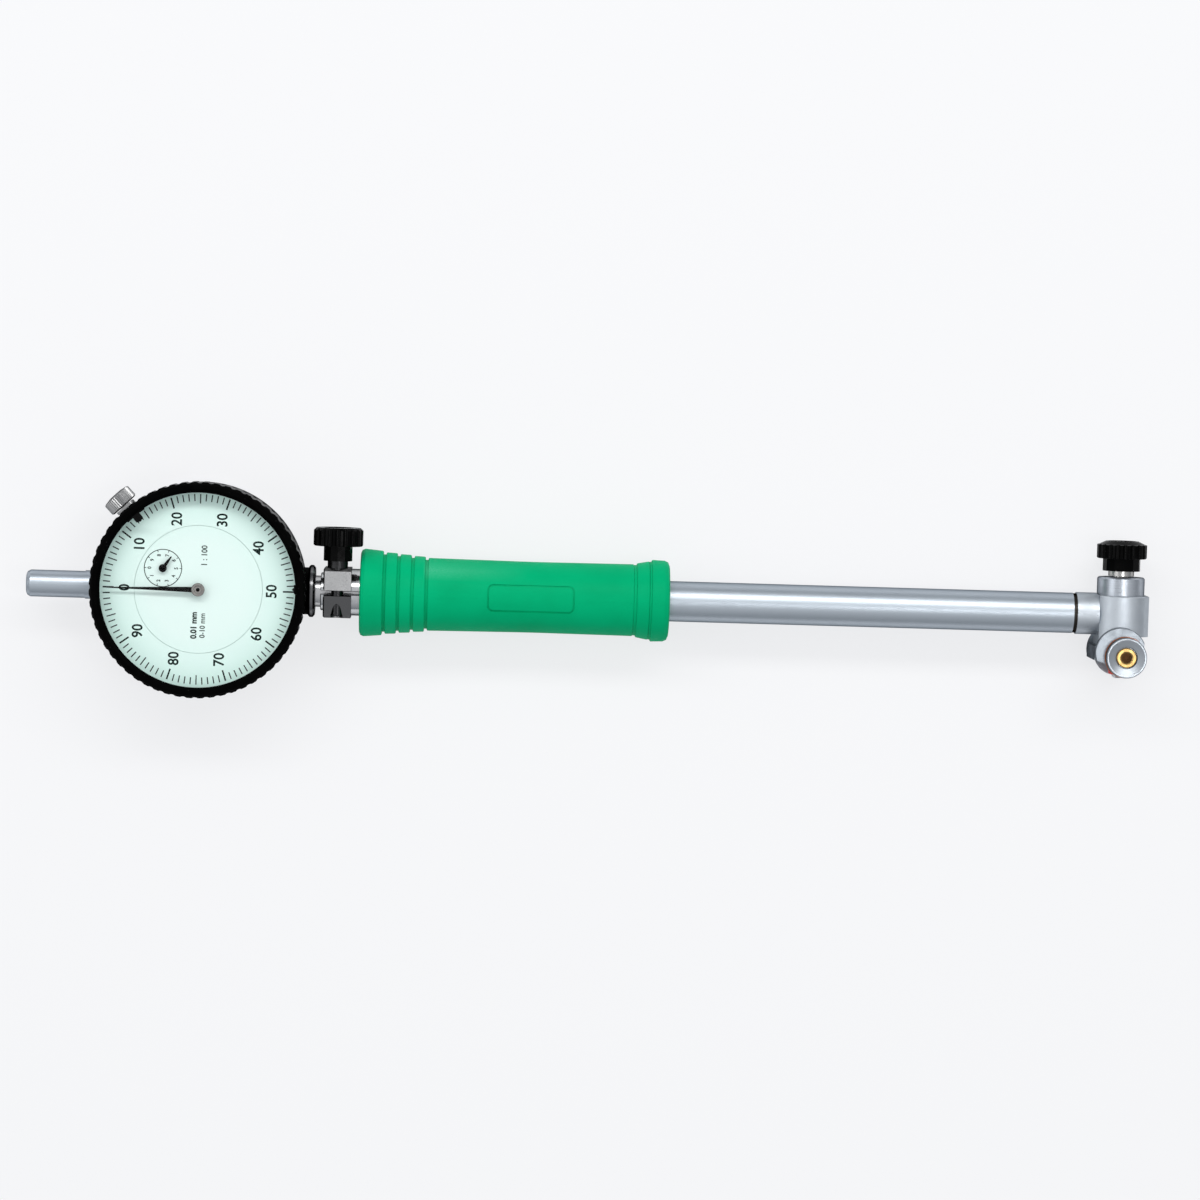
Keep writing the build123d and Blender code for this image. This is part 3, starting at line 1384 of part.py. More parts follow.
# Rollers, their bronze washers and brass axle screws, the same on both sides
roller_axis = Axis((head_x + roller_x, roller_y, axis_height), (0, 0, 1))
recess_floor = roller_face - roller_dish - roller_recess
for side, place in ((1, "front"), (-1, "rear")):
    roller_section = Plane(
        origin=(head_x + roller_x, roller_y, axis_height), x_dir=(1, 0, 0), z_dir=(0, -side, 0)
    )
    if side < 0:
        roller_section = Plane(
            origin=(head_x + roller_x, roller_y, axis_height), x_dir=(1, 0, 0), z_dir=(0, 1, 0)
        )
    with BuildPart() as roller:
        with BuildSketch(roller_section):
            closed_outline(
                (roller_bore, roller_back),
                (roller_radius - roller_edge, roller_back),
                (roller_radius, roller_back + roller_edge),
                (roller_radius, roller_face - roller_edge),
                (roller_radius - roller_edge, roller_face),
                (roller_radius - roller_edge * 2.2, roller_face),
                (axle_head_radius + roller_edge, roller_face - roller_dish),
                (axle_head_radius + 0.1, recess_floor),
                (roller_bore, recess_floor),
            )
        revolve(axis=roller_axis)
    finish(roller, f"roller_{place}")
    with BuildPart() as roller_washer:
        with BuildSketch(roller_section):
            closed_outline(
                (axle_radius, cheek_outer),
                (washer_radius, cheek_outer),
                (washer_radius, cheek_outer + washer_thickness),
                (axle_radius, cheek_outer + washer_thickness),
            )
        revolve(axis=roller_axis)
    finish(roller_washer, f"roller_washer_{place}")
    with BuildPart() as roller_screw:
        head_start = recess_floor + running_fit
        head_end = head_start + axle_head_length
        with BuildSketch(roller_section):
            closed_outline(
                (0, cheek_inner),
                (axle_radius, cheek_inner),
                (axle_radius, head_start),
                (axle_head_radius, head_start),
                (axle_head_radius, head_end - 0.2),
                (axle_head_radius - 0.25, head_end),
                (axle_socket_radius + 0.35, head_end),
                (axle_socket_radius, head_end - 0.25),
                (axle_socket_radius, head_start),
                (0, head_start),
            )
        revolve(axis=roller_axis)
    finish(roller_screw, f"roller_screw_{place}")
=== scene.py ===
import math

import bmesh
import bpy
import numpy as np
from mathutils import Matrix, Vector


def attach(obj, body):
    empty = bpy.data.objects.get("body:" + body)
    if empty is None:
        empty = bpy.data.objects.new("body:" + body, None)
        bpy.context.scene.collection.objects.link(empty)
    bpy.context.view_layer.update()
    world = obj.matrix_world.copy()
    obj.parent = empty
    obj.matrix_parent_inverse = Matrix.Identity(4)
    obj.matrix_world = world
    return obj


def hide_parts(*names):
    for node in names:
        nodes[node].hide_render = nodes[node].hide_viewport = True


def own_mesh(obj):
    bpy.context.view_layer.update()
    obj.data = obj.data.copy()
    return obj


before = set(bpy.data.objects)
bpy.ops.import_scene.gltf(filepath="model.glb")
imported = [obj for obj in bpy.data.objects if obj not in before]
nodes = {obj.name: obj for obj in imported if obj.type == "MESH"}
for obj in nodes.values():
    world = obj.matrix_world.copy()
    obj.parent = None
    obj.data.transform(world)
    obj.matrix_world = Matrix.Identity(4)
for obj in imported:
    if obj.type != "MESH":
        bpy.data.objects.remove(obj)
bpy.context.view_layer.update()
scene = bpy.context.scene
scene.view_settings.view_transform = "Standard"
mm = 0.001
micron = 0.001 * mm
axisHeight = 11.5 * mm  # the stem and the tube lie this high above the case back
print("frame loaded:", len(nodes), "nodes")


# Short forms for shader nodes

def plug(tree, value, socket):
    # A number is set on the socket, an output is linked to it
    if isinstance(value, bpy.types.NodeSocket):
        tree.links.new(value, socket)
    else:
        socket.default_value = value


def calc(tree, operation, a, b=0.0):
    node = tree.nodes.new("ShaderNodeMath")
    node.operation = operation
    plug(tree, a, node.inputs[0])
    plug(tree, b, node.inputs[1])
    return node.outputs[0]


def remap(tree, value, fromLow, fromHigh, toLow, toHigh):
    node = tree.nodes.new("ShaderNodeMapRange")
    for socket, number in zip(node.inputs, (value, fromLow, fromHigh, toLow, toHigh)):
        plug(tree, number, socket)
    return node.outputs[0]


def noiseOf(tree, vector, scale, detail=2.0, roughness=0.5):
    node = tree.nodes.new("ShaderNodeTexNoise")
    plug(tree, vector, node.inputs["Vector"])
    plug(tree, scale, node.inputs["Scale"])
    node.inputs["Detail"].default_value = detail
    node.inputs["Roughness"].default_value = roughness
    return node.outputs["Fac"]


def splitVector(tree, vector):
    node = tree.nodes.new("ShaderNodeSeparateXYZ")
    tree.links.new(vector, node.inputs[0])
    return node.outputs


def alongAndRadius(tree, vector):
    # Distance along X, and distance from the X axis: the root of y squared plus z squared
    x, y, z = splitVector(tree, vector)
    squares = calc(tree, "ADD", calc(tree, "MULTIPLY", y, y), calc(tree, "MULTIPLY", z, z))
    return x, calc(tree, "SQRT", squares)


def blendColor(tree, amount, low, high):
    node = tree.nodes.new("ShaderNodeMix")
    node.data_type = "RGBA"
    plug(tree, amount, node.inputs[0])
    for socket, color in ((node.inputs[6], low), (node.inputs[7], high)):
        plug(tree, (*color, 1) if isinstance(color, tuple) else color, socket)
    return node.outputs[2]


def shade(color, factor):
    return tuple(c * factor for c in color)


# Camera, light and floor

cameraView = {
    "target": (0.1026, -0.0002, axisHeight),  # seen at the middle of the picture
    "distance": 1.15,
    "tilt": 3.2,  # degrees off the vertical, towards +Y
    "lean": 1.8,  # degrees off the vertical, towards the dial
    "roll": 1.75,  # the gauge falls to the right by this much
    "lens": 134.2,
    "sensor": 36,
    "clip": (0.01, 20),
}


def placeCamera(look):
    # The camera looks back along a line that leans by tilt and lean, then turns about that line by roll
    tilt, lean, roll = (math.radians(look[part]) for part in ("tilt", "lean", "roll"))
    back = Vector((-math.sin(lean), math.sin(tilt), math.cos(tilt) * math.cos(lean))).normalized()
    right = Vector((0, 1, 0)).cross(back).normalized()
    up = back.cross(right)
    turnedRight = math.cos(roll) * right + math.sin(roll) * up
    turnedUp = -math.sin(roll) * right + math.cos(roll) * up
    data = bpy.data.cameras.new("pictureCamera")
    data.lens = look["lens"]
    data.sensor_width = look["sensor"]
    data.clip_start, data.clip_end = look["clip"]
    camera = bpy.data.objects.new("pictureCamera", data)
    place = Vector(look["target"]) + back * look["distance"]
    columns = (turnedRight, turnedUp, back, place)
    camera.matrix_world = Matrix([[c[i] for c in columns] for i in range(3)] + [[0, 0, 0, 1]])
    scene.collection.objects.link(camera)
    scene.camera = camera


softLights = {
    "stripBox": {  # a long box above the tube's upper side, which draws the bright line on it
        "place": (0.10, 0.56, 0.72), "aim": (0.1, 0.0, 0.01), "size": (1.6, 0.17), "power": 5.4,
        "color": (1.0, 0.998, 0.99),
    },
    "leftBox": {
        "place": (-0.75, 0.05, 0.75), "aim": (0.1, 0.0, 0.01), "size": (0.3, 0.6), "power": 1.0,
        "color": (0.98, 0.99, 1.0),
    },
    "headBox": {  # a small box that the flat faces of the measuring head reflect
        "place": (0.386, -0.05, 0.91), "aim": (0.237, 0.0, 0.015), "size": (0.12, 0.3), "power": 0.7,
        "color": (1.0, 1.0, 1.0),
    },
}


def placeLights(looks):
    for name, look in looks.items():
        data = bpy.data.lights.new(name, "AREA")
        data.shape = "RECTANGLE"
        data.size, data.size_y = look["size"]
        data.energy = look["power"]
        data.color = look["color"]
        lamp = bpy.data.objects.new(name, data)
        lamp.location = look["place"]
        lamp.rotation_euler = (Vector(look["aim"]) - lamp.location).to_track_quat("-Z", "Y").to_euler()
        scene.collection.objects.link(lamp)


skyLook = {"zenith": (0.96, 0.975, 1.0), "horizon": (0.30, 0.32, 0.35), "strength": 0.72}


def makeSky(look):
    # Pale overhead, darker towards the horizon, as in a light tent
    world = bpy.data.worlds.new("studioSky")
    world.use_nodes = True
    tree = world.node_tree
    direction = tree.nodes.new("ShaderNodeTexCoord").outputs["Generated"]
    ramp = tree.nodes.new("ShaderNodeValToRGB")
    ramp.color_ramp.elements[0].color = (*look["horizon"], 1)
    ramp.color_ramp.elements[1].color = (*look["zenith"], 1)
    tree.links.new(splitVector(tree, direction)["Z"], ramp.inputs[0])
    background = tree.nodes["Background"]
    background.inputs["Strength"].default_value = look["strength"]
    tree.links.new(ramp.outputs["Color"], background.inputs["Color"])
    scene.world = world


floorLook = {
    "seen": (0.955, 0.96, 0.975),  # the even glow that camera rays see
    "lit": (0.86, 0.86, 0.8686),
    "shadowDepth": 0.25,  # share of the lit paper in what the camera sees
    "half": 3.0,
    "drop": 0.02 * mm,  # keeps the sheet clear of the back cover
}


def makeFloor(look):
    # A flat sheet; the camera and rays through glass see it mixed with an even pale glow
    half, low = look["half"], -look["drop"]
    corners = [(-half, -half, low), (half, -half, low), (half, half, low), (-half, half, low)]
    mesh = bpy.data.meshes.new("studioFloor")
    mesh.from_pydata(corners, [], [(0, 1, 2, 3)])
    floor = bpy.data.objects.new("studioFloor", mesh)
    scene.collection.objects.link(floor)
    material = bpy.data.materials.new("paleSheet")
    material.use_nodes = True
    tree = material.node_tree
    tree.nodes.clear()
    output = tree.nodes.new("ShaderNodeOutputMaterial")
    paper = tree.nodes.new("ShaderNodeBsdfDiffuse")
    paper.inputs["Color"].default_value = (*look["lit"], 1)
    glow = tree.nodes.new("ShaderNodeEmission")
    glow.inputs["Color"].default_value = (*look["seen"], 1)
    seenMix = tree.nodes.new("ShaderNodeMixShader")
    seenMix.inputs[0].default_value = look["shadowDepth"]
    tree.links.new(glow.outputs[0], seenMix.inputs[1])
    tree.links.new(paper.outputs[0], seenMix.inputs[2])
    path = tree.nodes.new("ShaderNodeLightPath").outputs
    seen = calc(tree, "MAXIMUM", path["Is Camera Ray"], path["Is Transmission Ray"])
    choose = tree.nodes.new("ShaderNodeMixShader")
    tree.links.new(seen, choose.inputs[0])
    tree.links.new(paper.outputs[0], choose.inputs[1])
    tree.links.new(seenMix.outputs[0], choose.inputs[2])
    tree.links.new(choose.outputs[0], output.inputs["Surface"])
    mesh.materials.append(material)


placeCamera(cameraView)
placeLights(softLights)
makeSky(skyLook)
makeFloor(floorLook)
print("camera, lights and floor placed")


# Shader groups that several materials share

def newGroup(name, inputs, outputs):
    # The first input is the vector, the others are numbers with a default
    tree = bpy.data.node_groups.new(name, "ShaderNodeTree")
    tree.interface.new_socket("vector", in_out="INPUT", socket_type="NodeSocketVector")
    for label, value in inputs.items():
        socket = tree.interface.new_socket(label, in_out="INPUT", socket_type="NodeSocketFloat")
        socket.default_value = value
    for label in outputs:
        tree.interface.new_socket(label, in_out="OUTPUT", socket_type="NodeSocketFloat")
    return tree, tree.nodes.new("NodeGroupInput").outputs, tree.nodes.new("NodeGroupOutput").inputs


def makeTurnedLines():
    # Tool marks: noise over the distance along the axis and the distance from it, so they run round it.
    # A slow drift of both keeps the marks from being perfect rings
    driftScale, drift = 90.0, 0.35 * mm
    tree, given, out = newGroup("turnedLines", {"perMetre": 6000.0}, ["lines"])
    along, radius = alongAndRadius(tree, given["vector"])
    wander = calc(tree, "MULTIPLY", noiseOf(tree, given["vector"], driftScale), drift)
    place = tree.nodes.new("ShaderNodeCombineXYZ")
    tree.links.new(calc(tree, "ADD", along, wander), place.inputs[0])
    tree.links.new(calc(tree, "ADD", radius, wander), place.inputs[1])
    marks = noiseOf(tree, place.outputs[0], given["perMetre"], detail=3.0, roughness=0.65)
    tree.links.new(marks, out["lines"])
    return tree


def makeGrain():
    # Fine even grain with a slower mottle under it
    tree, given, out = newGroup("surfaceGrain", {"fine": 9000.0, "slow": 120.0}, ["grain", "mottle"])
    grain = noiseOf(tree, given["vector"], given["fine"], detail=2.0, roughness=0.6)
    mottle = noiseOf(tree, given["vector"], given["slow"], detail=4.0, roughness=0.55)
    tree.links.new(grain, out["grain"])
    tree.links.new(mottle, out["mottle"])
    return tree


def makeHandling():
    # Smudges: a wide and a narrow noise multiplied, kept where both are high.
    # Specks: the middles of small cells, kept where a noise allows them
    narrower, smudgeFrom, smudgeTo = 4.3, 0.2, 0.38
    speckRadius, speckLimit = 0.09, 0.58
    tree, given, out = newGroup(
        "handlingMarks", {"smudgeSize": 150.0, "speckSize": 700.0}, ["smudge", "specks"])
    vector = given["vector"]
    wide = noiseOf(tree, vector, given["smudgeSize"], detail=3.0)
    narrow = noiseOf(tree, vector, calc(tree, "MULTIPLY", given["smudgeSize"], narrower))
    smudge = remap(tree, calc(tree, "MULTIPLY", wide, narrow), smudgeFrom, smudgeTo, 0.0, 1.0)
    tree.links.new(smudge, out["smudge"])
    cells = tree.nodes.new("ShaderNodeTexVoronoi")
    tree.links.new(vector, cells.inputs["Vector"])
    tree.links.new(given["speckSize"], cells.inputs["Scale"])
    dots = calc(tree, "LESS_THAN", cells.outputs["Distance"], speckRadius)
    allowed = calc(tree, "GREATER_THAN", noiseOf(tree, vector, given["speckSize"], detail=0.0), speckLimit)
    tree.links.new(calc(tree, "MULTIPLY", dots, allowed), out["specks"])
    return tree


turnedLines, surfaceGrain, handlingMarks = makeTurnedLines(), makeGrain(), makeHandling()
print("shader groups built")


# Materials

pieceAxes = {  # a point on the axis, in mm, and the turn in degrees that lays X along it
    "tube": ((0, 0, 11.5), (0, 0, 0)),
    "dial": ((0, 0, 0), (0, -90, 0)),
    "counter": ((-9.1, 5.19, 0), (0, -90, 0)),
    "train": ((-8.89, -5.55, 0), (0, -90, 0)),
    "head": ((236.8, 0, 11.5), (0, 0, 90)),
    "roller": ((237.4, -10.6, 0), (0, -90, 0)),
    "clampKnob": ((35.25, 0, 18.1), (0, 0, 90)),
    "bezelClamp": ((0, 0, 10.8), (0, 0, 134)),
}


def startMaterial(name, axis):
    # Gives the material's tree, its shader and the object coordinates with X laid along the piece's axis
    material = bpy.data.materials.new(name)
    material.use_nodes = True
    tree = material.node_tree
    shader = tree.nodes["Principled BSDF"]
    centre, turn = pieceAxes[axis]
    mapping = tree.nodes.new("ShaderNodeMapping")
    mapping.vector_type = "TEXTURE"
    mapping.inputs["Location"].default_value = [c * mm for c in centre]
    mapping.inputs["Rotation"].default_value = [math.radians(t) for t in turn]
    tree.links.new(tree.nodes.new("ShaderNodeTexCoord").outputs["Object"], mapping.inputs["Vector"])
    return material, tree, shader, mapping.outputs[0]


def useGroup(tree, group, vector, **values):
    node = tree.nodes.new("ShaderNodeGroup")
    node.node_tree = group
    tree.links.new(vector, node.inputs["vector"])
    for label, value in values.items():
        plug(tree, value, node.inputs[label])
    return node.outputs


bumpStrength = 0.6
noiseSpan = (0.3, 0.7)  # nearly all of a noise's values lie between these


def bumpFrom(tree, shader, height, depth):
    # The depth is in thousandths of a millimetre
    bump = tree.nodes.new("ShaderNodeBump")
    bump.inputs["Strength"].default_value = bumpStrength
    bump.inputs["Distance"].default_value = depth * micron
    tree.links.new(height, bump.inputs["Height"])
    tree.links.new(bump.outputs[0], shader.inputs["Normal"])


def unevenGloss(tree, shader, rough, wear, grain, smudge):
    # The roughness wavers with the grain by the spread, and smudges add to it
    wavering = remap(tree, grain, *noiseSpan, rough - wear["spread"], rough + wear["spread"])
    dulled = calc(tree, "ADD", wavering, calc(tree, "MULTIPLY", smudge, wear["dulling"]))
    tree.links.new(dulled, shader.inputs["Roughness"])


def stained(tree, vector, color, stainsAndShade):
    # Blends in each stain and each patch of painted shade over a stretch along the piece's axis or of the
    # distance from it, both in metres
    for stainAndShade in stainsAndShade:
        along, radius = alongAndRadius(tree, vector)
        measured = {"along": along, "radius": radius}[stainAndShade["over"]]
        amount = remap(tree, measured, stainAndShade["clean"], stainAndShade["full"], 0.0, 1.0)
        color = blendColor(tree, amount, color, stainAndShade["color"])
    return color


darkEdge = (0.01, 0.012, 0.016)  # what the metals reflect where they are seen edge on


def bareMetal(tree, shader, vector, color, stainsAndShade):
    # Metal of this colour under its stains and painted shade
    tree.links.new(stained(tree, vector, color, stainsAndShade), shader.inputs["Base Color"])
    shader.inputs["Metallic"].default_value = 1.0
    shader.inputs["Specular Tint"].default_value = (*darkEdge, 1)


turnedWear = {
    "spread": 0.05, "dulling": 0.08, "smudgeMix": 0.25, "smudgeTone": 0.72,
    "speckMix": 0.6, "speckColor": (0.03, 0.028, 0.025),
}


def turnedMetal(name, look, axis):
    # Metal with marks round its axis, smudges that dull it and a few dark specks
    wear = turnedWear
    material, tree, shader, vector = startMaterial(name, axis)
    lines = useGroup(tree, turnedLines, vector, perMetre=look["lines"])["lines"]
    marks = useGroup(tree, handlingMarks, vector)
    smudge = calc(tree, "MULTIPLY", marks["smudge"], look.get("smudges", 1.0))
    specked = calc(tree, "MULTIPLY", marks["specks"], look.get("specks", wear["speckMix"]))
    toned = remap(tree, lines, *noiseSpan, 0.0, 1.0)
    color = blendColor(tree, toned, shade(look["color"], look["dark"]), look["color"])
    smudged = calc(tree, "MULTIPLY", smudge, wear["smudgeMix"])
    color = blendColor(tree, smudged, color, shade(look["color"], wear["smudgeTone"]))
    color = blendColor(tree, specked, color, wear["speckColor"])
    bareMetal(tree, shader, vector, color, look.get("stainsAndShade", []))
    unevenGloss(tree, shader, look["rough"], wear, lines, smudge)
    bumpFrom(tree, shader, lines, look["depth"])
    return material


blastedWear = {
    "span": (0.35, 0.65), "spread": 0.06, "dulling": 0.1, "smudgeSize": 110.0,
    "speckMix": 0.5, "speckTone": 0.2,
}


def blastedMetal(name, look, axis):
    # Bead-blasted or machined metal: even grain, slow mottle and smudges
    wear = blastedWear
    material, tree, shader, vector = startMaterial(name, axis)
    grain = useGroup(tree, surfaceGrain, vector, fine=look["fine"], slow=look["slow"])
    marks = useGroup(tree, handlingMarks, vector, smudgeSize=wear["smudgeSize"])
    mean = calc(tree, "MULTIPLY", calc(tree, "ADD", grain["grain"], grain["mottle"]), 0.5)
    toned = remap(tree, mean, *wear["span"], 0.0, 1.0)
    specked = calc(tree, "MULTIPLY", marks["specks"], wear["speckMix"])
    color = blendColor(tree, toned, shade(look["color"], look["dark"]), look["color"])
    color = blendColor(tree, specked, color, shade(look["color"], wear["speckTone"]))
    bareMetal(tree, shader, vector, color, look.get("stainsAndShade", []))
    unevenGloss(tree, shader, look["rough"], wear, grain["grain"], marks["smudge"])
    bumpFrom(tree, shader, grain["grain"], look["depth"])
    return material


mouldedWear = {"span": (0.35, 0.65), "spread": 0.04, "dulling": 0.12, "speckMix": 0.35, "speckSize": 1100.0}


def mouldedPlastic(name, look, axis):
    # Moulded plastic or paint: faint grain, dust in patches, smudges in the gloss
    wear = mouldedWear
    material, tree, shader, vector = startMaterial(name, axis)
    grain = useGroup(tree, surfaceGrain, vector, fine=look["fine"], slow=look["slow"])
    marks = useGroup(tree, handlingMarks, vector, speckSize=wear["speckSize"])
    toned = remap(tree, grain["mottle"], *wear["span"], 0.0, 1.0)
    color = blendColor(tree, toned, look["color"], look["worn"])
    color = blendColor(tree, calc(tree, "MULTIPLY", marks["specks"], wear["speckMix"]), color, look["dust"])
    tree.links.new(color, shader.inputs["Base Color"])
    unevenGloss(tree, shader, look["rough"], wear, grain["grain"], marks["smudge"])
    shader.inputs["IOR"].default_value = look["ior"]
    bumpFrom(tree, shader, grain["grain"], look["depth"])
    return material


# In the metals' looks dark is the marks' tone against the colour, lines is how many marks a metre holds,
# and depth is in thousandths of a millimetre
metalLooks = {
    "tube": {
        "color": (0.52, 0.575, 0.63), "dark": 0.98, "rough": 0.38, "lines": 9000.0, "depth": 0.1,
        "specks": 0.1, "smudges": 0.25,
    },
    "cap": {
        "color": (0.52, 0.575, 0.63), "dark": 0.98, "rough": 0.38, "lines": 9000.0, "depth": 0.1,
        "specks": 0.1, "smudges": 0.25,
    },
    "stem": {
        "color": (0.6, 0.6, 0.605), "dark": 0.94, "rough": 0.2, "lines": 9000.0, "depth": 1.0,
        "stainsAndShade": [
            {"over": "along", "clean": 29.7 * mm, "full": 29.5 * mm, "color": (0.17, 0.17, 0.175)},
            {"over": "along", "clean": 28.5 * mm, "full": 28.2 * mm, "color": (0.004, 0.004, 0.004)},
        ],
    },
    "polished": {"color": (0.66, 0.67, 0.68), "dark": 0.93, "rough": 0.13, "lines": 4000.0, "depth": 2.0},
    "turned": {"color": (0.55, 0.59, 0.64), "dark": 0.88, "rough": 0.3, "lines": 6500.0, "depth": 6.0},
    "roller": {"color": (0.43, 0.465, 0.50), "dark": 0.88, "rough": 0.3, "lines": 5200.0, "depth": 8.0},
    "stud": {"color": (0.6, 0.59, 0.57), "dark": 0.8, "rough": 0.22, "lines": 5000.0, "depth": 8.0},
    "knurled": {"color": (0.52, 0.52, 0.52), "dark": 0.75, "rough": 0.33, "lines": 6000.0, "depth": 10.0},
    "brass": {
        "color": (0.62, 0.40, 0.15), "dark": 0.6, "rough": 0.24, "lines": 4800.0, "depth": 8.0,
        "stainsAndShade": [
            # painted shade: a dark disc in the middle of the screw head stands for its shaded hex socket
            {"over": "radius", "clean": 1.45 * mm, "full": 1.25 * mm, "color": (0.025, 0.012, 0.005)},
        ],
    },
    "bronze": {"color": (0.72, 0.22, 0.07), "dark": 0.7, "rough": 0.35, "lines": 5200.0, "depth": 8.0},
    "darkBronze": {"color": (0.05, 0.045, 0.04), "dark": 0.6, "rough": 0.4, "lines": 5200.0, "depth": 8.0},
    "arbor": {
        "color": (0.6, 0.61, 0.63), "dark": 0.9, "rough": 0.25, "lines": 7000.0, "depth": 4.0,
        "stainsAndShade": [
            {"over": "along", "clean": 19.6 * mm, "full": 19.8 * mm, "color": (0.002, 0.002, 0.002)},
        ],
    },
    "wheelArbor": {
        "color": (0.75, 0.58, 0.27), "dark": 0.85, "rough": 0.3, "lines": 6000.0, "depth": 6.0,
        "stainsAndShade": [
            {"over": "along", "clean": 18.0 * mm, "full": 18.2 * mm, "color": (0.002, 0.002, 0.002)},
        ],
    },
    "oxide": {"color": (0.05, 0.05, 0.052), "dark": 0.6, "rough": 0.3, "lines": 5000.0, "depth": 8.0},
    "inner": {"color": (0.6, 0.61, 0.63), "dark": 0.9, "rough": 0.25, "lines": 7000.0, "depth": 4.0},
    "movement": {"color": (0.75, 0.58, 0.27), "dark": 0.85, "rough": 0.3, "lines": 6000.0, "depth": 6.0},
    "hub": {"color": (0.42, 0.39, 0.37), "dark": 0.45, "rough": 0.3, "lines": 2600.0, "depth": 10.0},
    "cover": {"color": (0.5, 0.51, 0.53), "dark": 0.85, "rough": 0.32, "lines": 4200.0, "depth": 10.0},
}
turnedPieces = {  # the look and the axis that a piece was turned about, then its nodes
    ("tube", "tube"): ["measuring_tube"],
    ("cap", "tube"): ["dust_cap"],
    ("stem", "tube"): ["stem"],
    ("polished", "tube"): ["handle_tube"],
    ("darkBronze", "tube"): ["joint_ring"],
    ("turned", "head"): ["anvil_socket"],
    ("stud", "head"): ["lock_stud"],
    ("oxide", "clampKnob"): ["clamp_screw"],
    ("polished", "head"): ["contact_plunger", "contact_tip"],
    ("roller", "roller"): ["roller_front", "roller_rear"],
    ("brass", "roller"): ["roller_screw_front", "roller_screw_rear"],
    ("bronze", "roller"): ["roller_washer_front", "roller_washer_rear"],
    ("knurled", "bezelClamp"): ["bezel_clamp_screw", "bezel_clip"],
    ("hub", "dial"): ["pointer_hub"],
    ("cover", "dial"): ["back_cover"],
    ("stud", "dial"): ["back_cover_screws", "plate_screws"],
    ("inner", "tube"): ["spindle", "rack", "spindle_tip", "push_rod", "rod_collar", "rod_spring"],
    ("inner", "head"): ["bell_crank", "crank_pin", "bridge_springs"],
    ("inner", "train"): ["rack_pinion"],
    ("inner", "counter"): ["hairspring"],
    ("arbor", "dial"): ["centre_pinion"],
    ("movement", "tube"): ["rod_guide_1", "rod_guide_2"],
    ("movement", "dial"): ["lower_plate", "upper_plate", "plate_pillars"],
    ("movement", "train"): ["main_wheel"],
    ("wheelArbor", "counter"): ["take_up_wheel"],
}
blastedLooks = {
    "body": {
        "color": (0.60, 0.645, 0.69), "dark": 0.94, "rough": 0.4,
        "fine": 7000.0, "slow": 260.0, "depth": 12.0,
    },
    "bridge": {
        "color": (0.37, 0.405, 0.44), "dark": 0.9, "rough": 0.36,
        "fine": 8000.0, "slow": 300.0, "depth": 8.0,
    },
    "clamp": {
        "color": (0.52, 0.52, 0.52), "dark": 0.86, "rough": 0.3,
        "fine": 6000.0, "slow": 400.0, "depth": 10.0,
        "stainsAndShade": [
            # painted shade: the lower jaw, below the slit, is darkened as if it faced away from the light
            {"over": "along", "clean": -0.2 * mm, "full": -0.6 * mm, "color": (0.14, 0.14, 0.142)},
        ],
    },
}
blastedPieces = {
    ("body", "head"): ["head_body"],
    ("bridge", "head"): ["guide_bridge"],
    ("clamp", "head"): ["clamp_block"],
}
plasticLooks = {
    "knob": {
        "color": (0.0007, 0.0007, 0.0007), "worn": (0.0015, 0.0015, 0.0015), "dust": (0.05, 0.05, 0.05),
        "rough": 0.16, "ior": 1.12, "fine": 9000.0, "slow": 300.0, "depth": 3.0,
    },
    "bezelPaint": {
        "color": (0.0008, 0.0008, 0.0008), "worn": (0.0016, 0.0016, 0.0016), "dust": (0.10, 0.10, 0.10),
        "rough": 0.25, "ior": 1.07, "fine": 5000.0, "slow": 200.0, "depth": 8.0,
    },
    "casePaint": {
        "color": (0.001, 0.001, 0.001), "worn": (0.003, 0.003, 0.003), "dust": (0.06, 0.06, 0.06),
        "rough": 0.5, "ior": 1.04, "fine": 5200.0, "slow": 200.0, "depth": 15.0,
    },
    "pointerPaint": {
        "color": (0.003, 0.003, 0.003), "worn": (0.007, 0.007, 0.007), "dust": (0.05, 0.05, 0.05),
        "rough": 0.45, "ior": 1.12, "fine": 14000.0, "slow": 800.0, "depth": 3.0,
    },
    "redRing": {
        "color": (0.72, 0.02, 0.012), "worn": (0.6, 0.015, 0.01), "dust": (0.4, 0.1, 0.08),
        "rough": 0.28, "ior": 1.5, "fine": 9000.0, "slow": 500.0, "depth": 6.0,
    },
    "printInk": {
        "color": (0.004, 0.012, 0.010), "worn": (0.012, 0.028, 0.024), "dust": (0.06, 0.09, 0.08),
        "rough": 0.55, "ior": 1.1, "fine": 16000.0, "slow": 900.0, "depth": 2.0,
    },
}
plasticPieces = {
    ("knob", "head"): ["lock_knob"],
    ("knob", "clampKnob"): ["clamp_knob"],
    ("bezelPaint", "dial"): ["bezel"],
    ("casePaint", "dial"): ["case", "retaining_ring"],
    ("pointerPaint", "dial"): ["main_pointer", "counter_pointer", "limit_marker_1", "limit_marker_2"],
    ("redRing", "head"): ["contact_ring"],
    ("printInk", "dial"): [],  # laid on the dial further down
}

gripLook = {
    "color": (0.0003, 0.445, 0.185), "low": (0.0003, 0.385, 0.155), "dirt": (0.002, 0.16, 0.08),
    "rough": 0.42, "ior": 1.1, "fine": 5200.0, "slow": 60.0, "depth": 20.0,
    "wear": {"spread": 0.05, "dulling": 0.12, "smudgeSize": 70.0, "dirtSize": 900.0, "dirtMix": 0.25},
    "paintedHighlight": {  # painted highlight: a pale strip of lit rubber on the upper side; where it starts and has faded out, its place across and half its width
        "from": 58 * mm, "to": 84 * mm, "height": 6.5 * mm, "width": 2.6 * mm,
        "grainSpan": (0.35, 0.65), "least": 0.3, "color": (0.07, 0.50, 0.27),
    },
}


